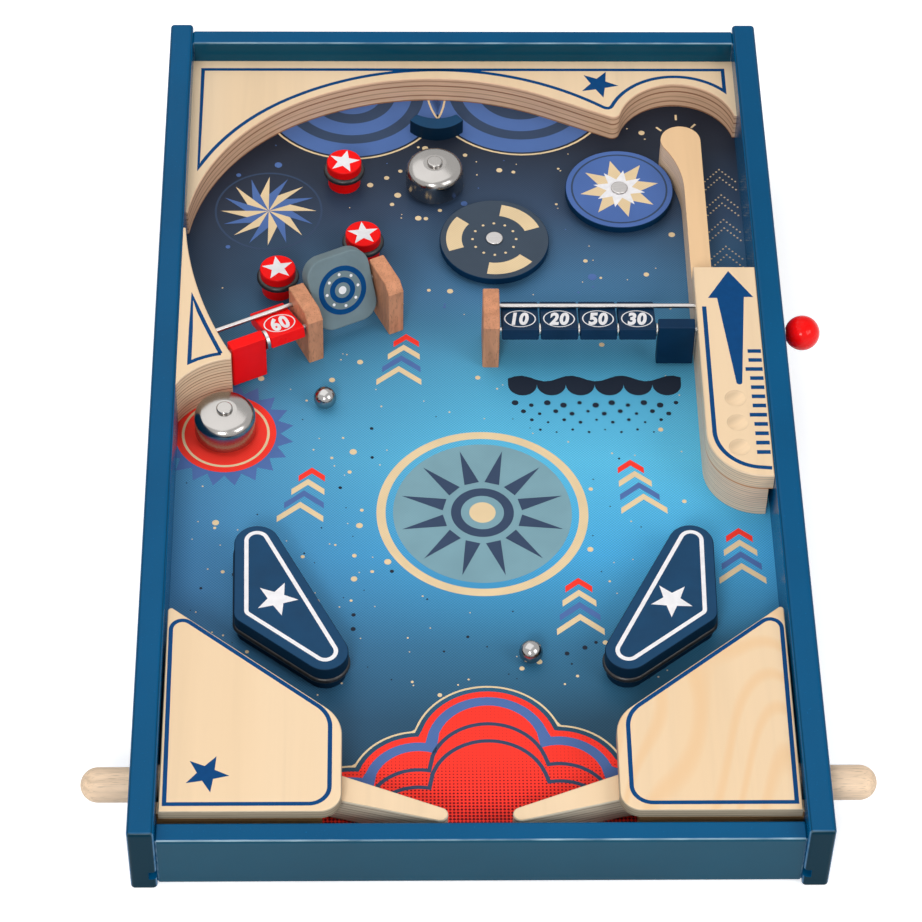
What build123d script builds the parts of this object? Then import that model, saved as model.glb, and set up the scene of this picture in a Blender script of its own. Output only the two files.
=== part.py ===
from build123d import *
import os
from math import acos, asin, atan2, cos, degrees, hypot, radians, sin

os.makedirs("parts", exist_ok=True)

# Wooden tabletop pinball game, in millimetres. X runs across the game, Y from the player to the back
# and Z up from the table. The tray leans towards the player, so its contents are drawn on a leaning
# deck plane: x across, y back from the front ends of the side boards, z up from the playfield.

# Tray
tray_width = 390
tray_length = 650
tray_tilt = 5
board_thick = 15
board_top = 37.5
board_drop = 16.5
board_round = 2.5
table_flat = 0.3
rail_thick = 13
rail_drop = 15
rail_round = 2
front_rail_y = 3
front_rail_top = 26
back_rail_inset = 5
back_rail_top = 36
panel_thick = 6.5
groove_depth = 4.5
panel_play = 0.1
foot_size = 26
foot_round = 3

# Fits
running_fit = 0.05
push_fit = 0.03
side_play = 0.3
stop_play = 0.1
edge_round = 1

# Top arch: a wide arch over the playfield, half the inner width in radius, with a tighter haunch that runs
# out in a thin lip at the left board, and a small arch over the launch lane. The crowns are the widths of
# wood left behind them at the back rail.
arch_height = 20
arch_crown = 16.7
haunch_short = 37.9
haunch_turn = 117
haunch_over = 0.7
arch_left_lip = 1
lane_arch_radius = 39
lane_arch_crown = 22
lane_arch_start = 171.5
lane_arch_lip = 0.6
lane_arch_tip = 9
arch_nose_round = 5

# Left guide wedge, measured from the left board, the arch's left tip and the line of the gates. That line,
# like each loose piece on the field, has its share of the way from the front rail to the back rail.
gate_share = 0.55032
guide_height = 36
guide_tip_gap = 29
guide_tip_width = 1.5
guide_belly = 12.5
guide_belly_share = 0.458
guide_reach = 33
guide_corner_depth = 4
guide_heel = 16
guide_heel_drop = 9.5
guide_end_drop = 25

# Launch lane, divider and launcher cover
lane_width = 26
divider_width = 13
divider_height = 24
divider_head_radius = 13
divider_head_drop = 18
divider_neck_radius = 70
block_front_drop = 98.5
block_depth = 18.5
block_side_gap = 3
launcher_corner_radius = 34
launcher_cover_length = 171.5
launcher_cover_thick = 12
dimple_sphere = 12
dimple_depth = 2
dimple_first = 61.5
dimple_pitch = 19.5

# Launcher
launcher_reach = 114
launcher_z = 17
launcher_travel = 60
launcher_rod_dia = 6
launcher_knob_dia = 22
launcher_knob_gap = 2.3
slider_length = 34
slider_height = 22
spigot_dia = 8
spigot_length = 10
spring_wire = 1.5
spring_seat_depth = 8

# Score gates: posts, rods and tabs. The tabs fill the right gate from its post to the launcher cover.
post_thick = 10.2
post_height = 41
post_inset = 4.5
post_chamfer = 5.5
rod_spacing = 20
rod_dia = 3
rod_bury = 6
axle_z = 30
right_tabs = 5
tab_thick = 8
tab_length = 33.5
tab_above = 6
tab_gap = 1.4
tab_round = 0.8
spacer_dia = 8
left_tab_start = 1.7
left_tab_gap = 2.6
left_spacer_dia = 12
right_gate_inset = 52.5
right_post_side = 18.4
left_gate_angle = 25.5
left_gate_inset = 1.6
left_post_gap = 2.8

# Spinner between the two left posts
spinner_width = 42
spinner_length = 48
spinner_thick = 10
spinner_round = 12
spinner_side_gap = 1.6
spinner_lean = 27

# Spinning discs: the right one is measured from the divider and the lane's arch, the left one from it
disc_radius = 35.2
disc_thick = 5.5
disc_lift = 4
disc_shoulder_dia = 14
disc_pin_dia = 6
disc_head_dia = 11
disc_head_thick = 1.3
right_disc_gap = 5.6
right_disc_drop = 48
disc_apart = 82.4
left_disc_share = 0.74919

# Bumpers, deflector and bells: place across the deck and share of the way along it. The lower bell is
# measured from the left board and the line of the gates.
bumper_across = {"top_bumper": -79, "left_bumper": -120.4, "right_bumper": -66.5}
bumper_share = {"top_bumper": 0.8474, "left_bumper": 0.69269, "right_bumper": 0.74188}
bumper_dia = 22.6
bumper_foot_dia = 21
bumper_height = 19.5
ring_section = 4.4
ring_dia = 22.5
ring_z = 11.4
deflector_x = -18.1
deflector_share = 0.92419
deflector_width = 35.6
deflector_bow = 8.2
deflector_horn_inset = 4.6
deflector_horn = 5.7
deflector_dip = 1.8
deflector_height = 11
top_bell_x = -20
top_bell_share = 0.83929
lower_bell_side = 29.5
lower_bell_drop = 34
bell_dia = 37.5
bell_flat_dia = 15
bell_top = 23
bell_lip = 4
bell_crown = 3
bell_swell = 0.4
bell_knee = 6.2
bell_wall = 1
bell_post_dia = 10
bell_shank_dia = 5
bell_head_dia = 10
bell_head_thick = 2

# Slingshots: corner circles as x, y, radius on the right-hand side
sling_corners = ((128.5, 218.5, 13.5), (133, 167, 8), (87.5, 138.5, 13.5))
sling_foot = 6.6
sling_foot_inset = 1.5
sling_height = 20
band_section = 4.4
band_bulge = 1
band_play = 0.1

# Corner covers, flippers and buttons on the right-hand side
cover_reach = 77.3
cover_play = 1.5
cover_front_gap = 4.3
cover_back_y = 164.9
cover_bend_y = 84.2
cover_bend_radius = 24
cover_corner_radius = 12
cover_tip_radius = 2
cover_top = 30
cover_thick = 6.5
support_inset = 3
support_wall = 8
support_rib = 7
button_y = 51
button_z = 12
button_dia = 20
button_reach = 29
button_collar_dia = 22.4
button_collar = 5
button_travel = 9.4
stem_dia = 10
nose_gap = 0.3
button_spring_dia = 16
flipper_pin_inset = 15.7
flipper_lever = 18
flipper_elbow_drop = 21.5
flipper_root_radius = 9.5
flipper_tip_radius = 4.6
flipper_gap = 36
flipper_clear = 0.5
flipper_tip_clear = 4.6
flipper_lift = 2
flipper_thick = 18
flipper_pin_dia = 6
flipper_shoulder_dia = 13

# Balls: one below the line of the gates, one between the slingshots
ball_upper_x = -89.7
ball_upper_drop = 11
ball_lower_x = 31.9
ball_lower_y = 147.3
ball_dia = 14
ball_gap = 0.2

# Values worked out from the sizes above
inner_half = tray_width / 2 - board_thick
board_height = board_top + board_drop
tilt = radians(tray_tilt)
divider_right = inner_half - lane_width
divider_left = divider_right - divider_width
front_rail_back = front_rail_y + rail_thick
back_rail_front = tray_length - back_rail_inset - rail_thick


def station(share):
    """Place along the deck, as a share of the way from the front rail to the back rail."""
    return front_rail_back + share * (back_rail_front - front_rail_back)


gates_y = station(gate_share)
arch_radius = inner_half
haunch_radius = arch_radius - haunch_short
arch_y = back_rail_front - arch_crown - arch_radius
haunch_y = arch_y + haunch_short * sin(radians(haunch_turn))
haunch_end = 180 - degrees(acos(1 - (haunch_over + arch_left_lip) / haunch_radius))
lane_arch_y = back_rail_front - lane_arch_crown - lane_arch_radius
arch_left_tip_y = haunch_y + haunch_radius * sin(radians(haunch_end))
arch_right_tip_y = lane_arch_y + lane_arch_tip
divider_head_y = lane_arch_y - divider_head_drop
block_front_y = gates_y - block_front_drop
lane_end_y = block_front_y + block_depth
launcher_cover_back_y = block_front_y + launcher_cover_length
launcher_y = lane_end_y + launcher_reach
tab_width = (divider_left - right_post_side - tab_gap) / right_tabs - tab_gap
post_depth = 2 * post_inset + rod_spacing
axle_v = post_inset
rod_v = post_inset + rod_spacing
tab_up_angle = 90 - degrees(asin(((tab_thick + rod_dia) / 2 + stop_play) / rod_spacing))
cover_bottom = cover_top - cover_thick
launcher_cover_top = divider_height + launcher_cover_thick

# The front lower corners of the side boards and the rear feet stand on the table, and the box of the
# whole game is centred on the origin.
deck_z = (board_drop - board_round) * cos(tilt) - board_round * sin(tilt) + board_round - table_flat
deck_front = board_round * cos(tilt) - (board_top - board_round) * sin(tilt) - board_round
deck_back = (tray_length - board_round) * cos(tilt) + (board_drop - board_round) * sin(tilt) + board_round
deck_y = -(deck_front + deck_back) / 2
deck = Plane(origin=(0, deck_y, deck_z), x_dir=(1, 0, 0), z_dir=(0, -sin(tilt), cos(tilt)))
deck_up = Axis(deck.origin, deck.z_dir)
SIDES = ((-1, "left"), (1, "right"))


def side_plane(base, x):
    """Plane square to the base plane's x direction: its own x is the base's y, its y the base's z."""
    return Plane(origin=base.from_local_coords((x, 0, 0)), x_dir=base.y_dir, z_dir=base.x_dir)


def turning_plane(base, x, y, z=0):
    """Plane through the base's normal at a place, for profiles turned about that normal."""
    return Plane(origin=base.from_local_coords((x, y, z)), x_dir=base.x_dir, z_dir=-base.y_dir)


def top_edges(piece):
    return piece.faces().sort_by(deck_up)[-1].edges()


def save(piece, name):
    piece.part.label = name
    export_step(piece.part, f"parts/{name}.step")


# Side boards: rounded all over, grooved for the playfield and bored for the flipper buttons. The right
# one has the slot for the launcher's rod.
for side, word in SIDES:
    with BuildPart() as board:
        with BuildSketch(side_plane(deck, side * (inner_half + board_thick / 2))):
            with Locations((tray_length / 2, (board_top - board_drop) / 2)):
                Rectangle(tray_length, board_height)
        extrude(amount=board_thick / 2, both=True)
        fillet(board.edges(), board_round)
        with BuildSketch(side_plane(deck, side * inner_half)):
            with Locations((tray_length / 2, -panel_thick / 2)):
                Rectangle(tray_length, panel_thick + 2 * panel_play)
        extrude(amount=side * groove_depth, mode=Mode.SUBTRACT)
        with BuildSketch(side_plane(deck, side * inner_half)):
            with Locations((button_y, button_z)):
                Circle(button_dia / 2 + running_fit)
        extrude(amount=side * board_thick, mode=Mode.SUBTRACT)
        if side > 0:
            slot_height = launcher_rod_dia + 2 * side_play
            with BuildSketch(side_plane(deck, inner_half)):
                with Locations((launcher_y - launcher_travel / 2, launcher_z)):
                    SlotOverall(launcher_travel + slot_height, slot_height)
            extrude(amount=board_thick, mode=Mode.SUBTRACT)
        split(bisect_by=Plane.XY, keep=Keep.TOP)
    save(board, f"{word}_side_board")

# Front and back rails between the side boards, grooved for the playfield.
rails = {"front_rail": (front_rail_y, front_rail_top, front_rail_back, -1),
         "back_rail": (back_rail_front, back_rail_top, back_rail_front, 1)}
for name, (rail_y, rail_top, inner_y, outward) in rails.items():
    with BuildPart() as rail:
        with BuildSketch(side_plane(deck, -inner_half)):
            with Locations((rail_y, -rail_drop)):
                Rectangle(rail_thick, rail_top + rail_drop, align=(Align.MIN, Align.MIN))
        extrude(amount=2 * inner_half)
        fillet(rail.edges().filter_by(Axis.X), rail_round)
        chamfer(rail.faces().filter_by(Axis.X).edges(), edge_round)
        with BuildSketch(side_plane(deck, -inner_half)):
            with Locations((inner_y + outward * groove_depth / 2, -panel_thick / 2)):
                Rectangle(groove_depth, panel_thick + 2 * panel_play)
        extrude(amount=2 * inner_half, mode=Mode.SUBTRACT)
    save(rail, name)

# Playfield: a board held in the grooves on all four sides.
panel_tongue = groove_depth - panel_play
panel_front = front_rail_back - panel_tongue
panel_back = back_rail_front + panel_tongue
with BuildPart() as playfield:
    with BuildSketch(deck):
        with Locations((0, (panel_front + panel_back) / 2)):
            Rectangle(2 * (inner_half + panel_tongue), panel_back - panel_front)
    extrude(amount=-panel_thick)
save(playfield, "playfield_panel")

# Rear feet in the back corners under the playfield, cut level with the table.
foot_reach = tray_length * sin(tilt) + board_height
for side, word in SIDES:
    with BuildPart() as foot:
        with BuildSketch(deck.offset(-panel_thick)):
            with Locations((side * (inner_half - foot_size / 2), back_rail_front - foot_size / 2)):
                RectangleRounded(foot_size, foot_size, foot_round)
        extrude(amount=-foot_reach)
        split(bisect_by=Plane.XY, keep=Keep.TOP)
    save(foot, f"{word}_rear_foot")

# Top arch: the haunch, a wide arc tangent to it, a straight run tangent to that, a rounded nose and a
# small arc over the lane.
haunch_x = haunch_radius - inner_half - haunch_over
arch_x = haunch_x - haunch_short * cos(radians(haunch_turn))
lane_arch_x = inner_half - lane_arch_lip - lane_arch_radius
nose = (lane_arch_x + lane_arch_radius * cos(radians(lane_arch_start)),
        lane_arch_y + lane_arch_radius * sin(radians(lane_arch_start)))
nose_distance = hypot(nose[0] - arch_x, nose[1] - arch_y)
arch_end = degrees(atan2(nose[1] - arch_y, nose[0] - arch_x) + acos(arch_radius / nose_distance))
lane_arch_end = degrees(asin(lane_arch_tip / lane_arch_radius))
with BuildPart() as top_arch:
    with BuildSketch(deck) as arch_face:
        with BuildLine():
            haunch = CenterArc((haunch_x, haunch_y), haunch_radius, haunch_end, haunch_turn - haunch_end)
            wide = CenterArc((arch_x, arch_y), arch_radius, haunch_turn, arch_end - haunch_turn)
            run = Line(wide @ 1, nose)
            small = CenterArc((lane_arch_x, lane_arch_y), lane_arch_radius, lane_arch_start,
                              lane_arch_end - lane_arch_start)
            Polyline(small @ 1, (inner_half, arch_right_tip_y), (inner_half, back_rail_front),
                     (-inner_half, back_rail_front), (-inner_half, arch_left_tip_y), haunch @ 0)
        make_face()
        fillet(arch_face.vertices().sort_by_distance(nose)[0], arch_nose_round)
    extrude(amount=arch_height)
    inner_edges = top_edges(top_arch).filter_by(GeomType.LINE, reverse=True)
    chamfer(inner_edges, edge_round / 2)
save(top_arch, "top_arch")

# Gate planes: x along the rods, y back through the posts, z up. The left gate starts at the guide's
# corner and runs at an angle, the right gate ends at the launcher cover.
guide_corner = (-inner_half + guide_reach, gates_y)
left_turn = Location((guide_corner[0], guide_corner[1], 0), (0, 0, left_gate_angle))
left_gate = Plane(deck.location * left_turn * Location((0, left_gate_inset, 0)))
right_gate = Plane(deck.location * Location((divider_left, launcher_cover_back_y - right_gate_inset, 0)))
left_tab_starts = (left_tab_start, left_tab_start + tab_width + left_tab_gap)
left_post_x = left_tab_starts[1] + tab_width + left_post_gap
middle_post_x = left_post_x + post_thick + spinner_width + 2 * spinner_side_gap
right_tab_starts = [-(right_tabs - n) * (tab_gap + tab_width) for n in range(right_tabs)]
right_post_x = right_tab_starts[0] - tab_gap - post_thick


def rod_holes(gate, x_from, x_to, places):
    """Cut holes for the gate's rods, from one place along the gate to another."""
    with BuildSketch(side_plane(gate, x_from)) as holes:
        with Locations(*places):
            Circle(rod_dia / 2 + push_fit)
    extrude(holes.sketch, amount=x_to - x_from, mode=Mode.SUBTRACT)


AXLE = (axle_v, axle_z)
STOP = (rod_v, axle_z)

# Left guide: a wedge that turns the ball towards the left gate, with hollow sides.
guide_tip_y = arch_left_tip_y - guide_tip_gap
guide_end_y = gates_y - guide_end_drop
with BuildPart() as left_guide:
    with BuildSketch(deck):
        with BuildLine():
            tip = (-inner_half + guide_tip_width, guide_tip_y)
            belly = (-inner_half + guide_belly, gates_y + guide_belly_share * (guide_tip_y - gates_y))
            ThreePointArc(tip, belly, guide_corner)
            lower_corner = (guide_corner[0], gates_y - guide_corner_depth)
            Line(guide_corner, lower_corner)
            heel = (-inner_half + guide_heel, gates_y - guide_heel_drop)
            ThreePointArc(lower_corner, heel, (-inner_half, guide_end_y))
            Polyline((-inner_half, guide_end_y), (-inner_half, guide_tip_y), tip)
        make_face()
    extrude(amount=guide_height)
    chamfer(top_edges(left_guide).filter_by(GeomType.CIRCLE), edge_round / 2)
    rod_holes(left_gate, -2 * rod_bury, rod_bury, (AXLE, STOP))
save(left_guide, "left_guide")

# Lane divider: a long wall with a round head, and a block at the near end that closes the lane and
# holds the launcher's spring.
divider_head = (divider_right - divider_head_radius, divider_head_y)
lane_middle = (divider_right + inner_half) / 2
with BuildPart() as lane_divider:
    with BuildSketch(deck) as divider_face:
        with Locations((divider_left, block_front_y)):
            Rectangle(divider_width, divider_head_y - block_front_y, align=(Align.MIN, Align.MIN))
            Rectangle(inner_half - block_side_gap - divider_left, lane_end_y - block_front_y,
                      align=(Align.MIN, Align.MIN))
        with Locations(divider_head):
            Circle(divider_head_radius)
        neck = (divider_left, divider_head_y - divider_head_radius)
        fillet(divider_face.vertices().sort_by_distance(neck)[0], divider_neck_radius)
        near_corner = (divider_left, block_front_y)
        fillet(divider_face.vertices().sort_by_distance(near_corner)[0], launcher_corner_radius)
    extrude(amount=divider_height)
    with BuildSketch(Plane(origin=deck.from_local_coords((lane_middle, lane_end_y, slider_height / 2)),
                           x_dir=deck.x_dir, z_dir=deck.y_dir)):
        Circle(spigot_dia / 2 + 2 * spring_wire)
    extrude(amount=-spring_seat_depth, mode=Mode.SUBTRACT)
save(lane_divider, "lane_divider")

# Launcher cover: a plate over the lane with three ball dimples, holding the right gate's rods.
cover_side = inner_half - side_play
with BuildPart() as launcher_cover:
    with BuildSketch(deck.offset(divider_height)) as plate:
        with Locations((divider_left, block_front_y)):
            Rectangle(cover_side - divider_left, launcher_cover_back_y - block_front_y,
                      align=(Align.MIN, Align.MIN))
        fillet(plate.vertices().sort_by_distance(near_corner)[0], launcher_corner_radius)
    extrude(amount=launcher_cover_thick)
    chamfer(top_edges(launcher_cover), edge_round / 2)
    dimple_z = launcher_cover_top + dimple_sphere - dimple_depth
    dimple_x = (divider_left + cover_side) / 2
    dimple_y = block_front_y + dimple_first
    dimples = [deck.location * Location((dimple_x, dimple_y - n * dimple_pitch, dimple_z))
               for n in range(3)]
    with Locations(*dimples):
        Sphere(dimple_sphere, mode=Mode.SUBTRACT)
    rod_holes(right_gate, 0, rod_bury, (AXLE, STOP))
save(launcher_cover, "launcher_cover")

# Launcher: a slider in the lane with a cross rod through the board's slot and a ball knob.
slider_middle_z = slider_height / 2
with BuildPart() as slider:
    with BuildSketch(deck.offset(side_play)):
        with Locations((lane_middle, launcher_y)):
            Rectangle(lane_width - 2 * side_play, slider_length)
    extrude(amount=slider_height - 2 * side_play)
    fillet(slider.edges().filter_by(Axis(deck.origin, deck.z_dir)), edge_round)
    slider_front = Plane(origin=deck.from_local_coords((lane_middle, launcher_y - slider_length / 2,
                                                        slider_middle_z)),
                         x_dir=deck.x_dir, z_dir=-deck.y_dir)
    with BuildSketch(slider_front):
        Circle(spigot_dia / 2)
    extrude(amount=spigot_length)
    with BuildSketch(side_plane(deck, lane_middle)):
        with Locations((launcher_y, launcher_z)):
            Circle(launcher_rod_dia / 2 + push_fit)
    extrude(amount=lane_width, mode=Mode.SUBTRACT)
save(slider, "launcher_slider")

knob_x = tray_width / 2 + launcher_knob_gap + launcher_knob_dia / 2
with BuildPart() as launcher_rod:
    with BuildSketch(side_plane(deck, lane_middle)):
        with Locations((launcher_y, launcher_z)):
            Circle(launcher_rod_dia / 2)
    extrude(amount=knob_x - lane_middle)
save(launcher_rod, "launcher_rod")

with BuildPart() as knob:
    with Locations(deck.location * Location((knob_x, launcher_y, launcher_z))):
        Sphere(launcher_knob_dia / 2)
    with BuildSketch(side_plane(deck, knob_x)):
        with Locations((launcher_y, launcher_z)):
            Circle(launcher_rod_dia / 2 + push_fit)
    extrude(amount=-launcher_knob_dia, mode=Mode.SUBTRACT)
save(knob, "launcher_knob")

# Launcher spring, as the plain sleeve that its coils fill, from the block's seat to the slider.
spring_back = launcher_y - slider_length / 2
spring_front = lane_end_y - spring_seat_depth
with BuildPart() as launcher_spring:
    with BuildSketch(slider_front):
        Circle(spigot_dia / 2 + 2 * spring_wire - panel_play)
        Circle(spigot_dia / 2 + panel_play, mode=Mode.SUBTRACT)
    extrude(amount=spring_back - spring_front)
save(launcher_spring, "launcher_spring")

# Gate posts: blocks with a sloped top front edge, drilled for the rods.
posts = {"left_gate_post": (left_gate, left_post_x, 0, post_thick),
         "middle_gate_post": (left_gate, middle_post_x, 0, rod_bury),
         "right_gate_post": (right_gate, right_post_x, post_thick - rod_bury, post_thick)}
for name, (gate, post_x, hole_from, hole_to) in posts.items():
    with BuildPart() as post:
        with BuildSketch(side_plane(gate, post_x)):
            Polygon((0, 0), (post_depth, 0), (post_depth, post_height), (post_chamfer, post_height),
                    (0, post_height - post_chamfer), align=None)
        extrude(amount=post_thick)
        chamfer(post.edges().filter_by(Axis(gate.origin, gate.x_dir), reverse=True), edge_round / 2)
        places = (STOP,) if name == "middle_gate_post" else (AXLE, STOP)
        rod_holes(gate, post_x + hole_from, post_x + hole_to, places)
    save(post, name)

# Rods: the front one of each gate is the tabs' axle, the back one stops the raised tabs. The left stop
# rod runs on to the middle post and carries the spinner.
left_rod_start = -rod_bury
right_rod_start = right_post_x + post_thick - rod_bury
rods = {"left_tab_axle": (left_gate, AXLE, left_rod_start, left_post_x + rod_bury),
        "left_stop_rod": (left_gate, STOP, left_rod_start, middle_post_x + rod_bury),
        "right_tab_axle": (right_gate, AXLE, right_rod_start, rod_bury),
        "right_stop_rod": (right_gate, STOP, right_rod_start, rod_bury)}
for name, (gate, place, rod_start, rod_end) in rods.items():
    with BuildPart() as rod:
        with BuildSketch(side_plane(gate, rod_start)):
            with Locations(place):
                Circle(rod_dia / 2)
        extrude(amount=rod_end - rod_start)
    save(rod, name)

# Thin washers on the axles between the tabs, with a larger one on the left axle.
spacer_starts = [(left_gate, left_tab_starts[1], left_tab_gap, left_spacer_dia)]
spacer_starts += [(right_gate, start, tab_gap, spacer_dia) for start in right_tab_starts[1:]]
with BuildPart() as spacers:
    for gate, start, gap, diameter in spacer_starts:
        with BuildSketch(side_plane(gate, start - gap + side_play)):
            with Locations(AXLE):
                Circle(diameter / 2)
                Circle(rod_dia / 2 + push_fit, mode=Mode.SUBTRACT)
        extrude(amount=gap - 2 * side_play)
save(spacers, "tab_spacers")

# Score tabs: blocks that hang from the axle, or lie flipped up against the stop rod.
tabs = {"score_tab_10": (right_gate, right_tab_starts[0], tab_up_angle),
        "score_tab_20": (right_gate, right_tab_starts[1], tab_up_angle),
        "score_tab_50": (right_gate, right_tab_starts[2], tab_up_angle),
        "score_tab_30": (right_gate, right_tab_starts[3], tab_up_angle),
        "score_tab_plain": (right_gate, right_tab_starts[4], 0),
        "red_tab_plain": (left_gate, left_tab_starts[0], 0),
        "red_tab_60": (left_gate, left_tab_starts[1], tab_up_angle)}
for name, (gate, start, swing) in tabs.items():
    hinge = side_plane(gate, start).location * Location((axle_v, axle_z, 0), (0, 0, swing))
    with BuildPart() as tab:
        with BuildSketch(Plane(hinge)):
            with Locations((0, tab_above)):
                Rectangle(tab_thick, tab_length, align=(Align.CENTER, Align.MAX))
        extrude(amount=tab_width)
        fillet(tab.edges(), tab_round)
        with BuildSketch(Plane(hinge)):
            Circle(rod_dia / 2 + running_fit)
        extrude(amount=tab_width, mode=Mode.SUBTRACT)
    save(tab, name)

# Spinner: a rounded plate on the left stop rod, leaning back.
spinner_x = left_post_x + post_thick + spinner_side_gap
lean = radians(spinner_lean)
spinner_face = left_gate.z_dir * sin(lean) - left_gate.y_dir * cos(lean)
spinner_middle = left_gate.from_local_coords((spinner_x + spinner_width / 2, rod_v, axle_z))
with BuildPart() as spinner:
    with BuildSketch(Plane(origin=spinner_middle, x_dir=left_gate.x_dir, z_dir=spinner_face)):
        RectangleRounded(spinner_width, spinner_length, spinner_round)
    extrude(amount=spinner_thick / 2, both=True)
    spinner_ends = spinner.faces().sort_by(Axis(spinner_middle, spinner_face))
    fillet(spinner_ends[0].edges() + spinner_ends[-1].edges(), edge_round)
    with BuildSketch(side_plane(left_gate, spinner_x)):
        with Locations(STOP):
            Circle(rod_dia / 2 + running_fit)
    extrude(amount=spinner_width, mode=Mode.SUBTRACT)
save(spinner, "spinner_plate")

# Spinning discs on shouldered pins.
right_disc_x = divider_left - right_disc_gap - disc_radius
disc_places = {"left_disc": (right_disc_x - disc_apart, station(left_disc_share)),
               "right_disc": (right_disc_x, lane_arch_y - right_disc_drop)}
for name, place in disc_places.items():
    with BuildPart() as disc:
        with BuildSketch(deck.offset(disc_lift)):
            with Locations(place):
                Circle(disc_radius)
        extrude(amount=disc_thick)
        fillet(disc.edges(), edge_round)
        with BuildSketch(deck.offset(disc_lift)):
            with Locations(place):
                Circle(disc_pin_dia / 2 + running_fit)
        extrude(amount=disc_thick, mode=Mode.SUBTRACT)
    save(disc, name)

disc_head_z = disc_lift + disc_thick + panel_play
with BuildPart() as disc_pins:
    with BuildSketch(deck):
        with Locations(*disc_places.values()):
            Circle(disc_shoulder_dia / 2)
    extrude(amount=disc_lift - panel_play)
    with BuildSketch(deck):
        with Locations(*disc_places.values()):
            Circle(disc_pin_dia / 2)
    extrude(amount=disc_head_z)
    with BuildSketch(deck.offset(disc_head_z)):
        with Locations(*disc_places.values()):
            Circle(disc_head_dia / 2)
    extrude(amount=disc_head_thick)
    fillet(disc_pins.edges().group_by(deck_up)[-1], disc_head_thick / 2)
save(disc_pins, "disc_pins")

# Bumpers: turned posts with a groove that holds a rubber ring.
ring_inner = (ring_dia - ring_section) / 2
groove_low = ring_z - ring_section / 2
groove_high = ring_z + ring_section / 2
bumper_places = {name: (x, station(bumper_share[name])) for name, x in bumper_across.items()}
for name, (x, y) in bumper_places.items():
    with BuildPart() as bumper:
        with BuildSketch(turning_plane(deck, x, y)):
            Polygon((0, 0), (bumper_foot_dia / 2, 0), (bumper_foot_dia / 2, groove_low),
                    (ring_inner, groove_low), (ring_inner, groove_high), (bumper_dia / 2, groove_high),
                    (bumper_dia / 2, bumper_height), (0, bumper_height), align=None)
        revolve(axis=Axis(deck.from_local_coords((x, y, 0)), deck.z_dir))
        fillet(bumper.edges().group_by(deck_up)[-1], edge_round)
    save(bumper, name)

with BuildPart() as bumper_rings:
    ring_spots = [deck.location * Location((x, y, ring_z)) for x, y in bumper_places.values()]
    with Locations(*ring_spots):
        Torus(ring_dia / 2, ring_section / 2)
save(bumper_rings, "bumper_rings")

# Deflector: a crescent block in front of the arch, bowed towards the player and hollow at the back.
deflector_y = station(deflector_share)
deflector_half = deflector_width / 2
horn_half = deflector_half - deflector_horn_inset
deflector_left, deflector_right = ((deflector_x + end * deflector_half, deflector_y) for end in (-1, 1))
horn_left, horn_right = ((deflector_x + end * horn_half, deflector_y + deflector_horn) for end in (-1, 1))
with BuildPart() as deflector:
    with BuildSketch(deck) as crescent:
        with BuildLine():
            ThreePointArc(deflector_left, (deflector_x, deflector_y - deflector_bow), deflector_right)
            Line(deflector_right, horn_right)
            ThreePointArc(horn_right, (deflector_x, deflector_y + deflector_dip), horn_left)
            Line(horn_left, deflector_left)
        make_face()
        fillet(crescent.vertices(), edge_round)
    extrude(amount=deflector_height)
    fillet(top_edges(deflector), edge_round / 2)
save(deflector, "deflector_block")


# Bells: thin domes on posts, held by a flat head.
def bell_profile(section, wall):
    """Half section of the dome, from the axis, drawn inside the outer surface by the wall."""
    flat = bell_flat_dia / 2
    radius = bell_dia / 2 - wall
    top = bell_top - wall
    knee = (radius, top - bell_crown)
    with BuildLine() as half:
        ThreePointArc((flat, top), ((flat + radius) / 2, top - bell_crown / 2 + bell_swell), knee)
        Polyline(knee, (radius, bell_lip), (0, bell_lip), (0, top), (flat, top))
    make_face(half.edges())
    fillet(section.vertices().sort_by_distance(knee)[0], bell_knee - wall)


bell_places = {"top_bell": (top_bell_x, station(top_bell_share)),
               "lower_bell": (-inner_half + lower_bell_side, gates_y - lower_bell_drop)}
for name, (x, y) in bell_places.items():
    bell_axis = Axis(deck.from_local_coords((x, y, 0)), deck.z_dir)
    with BuildPart() as bell:
        with BuildSketch(turning_plane(deck, x, y)) as outer_half:
            bell_profile(outer_half, 0)
        revolve(axis=bell_axis)
        with BuildSketch(turning_plane(deck, x, y)) as hollow_half:
            bell_profile(hollow_half, bell_wall)
        revolve(axis=bell_axis, mode=Mode.SUBTRACT)
        with BuildSketch(deck):
            with Locations((x, y)):
                Circle(bell_shank_dia / 2 + push_fit)
        extrude(amount=bell_top, mode=Mode.SUBTRACT)
    save(bell, name)

with BuildPart() as bell_posts:
    for height, diameter in ((bell_top - bell_wall, bell_post_dia), (bell_top, bell_shank_dia)):
        with BuildSketch(deck):
            with Locations(*bell_places.values()):
                Circle(diameter / 2)
        extrude(amount=height)
    with BuildSketch(deck.offset(bell_top)):
        with Locations(*bell_places.values()):
            Circle(bell_head_dia / 2)
    extrude(amount=bell_head_thick)
    fillet(bell_posts.edges().group_by(deck_up)[-1], bell_head_thick / 2)
save(bell_posts, "bell_posts")


# Slingshots: a plate and a smaller foot on a core, with a round rubber band in the groove between them.
def sling_outline(side, inset):
    for x, y, radius in sling_corners:
        with Locations((side * x, y)):
            Circle(radius - inset)
    make_hull()


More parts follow.
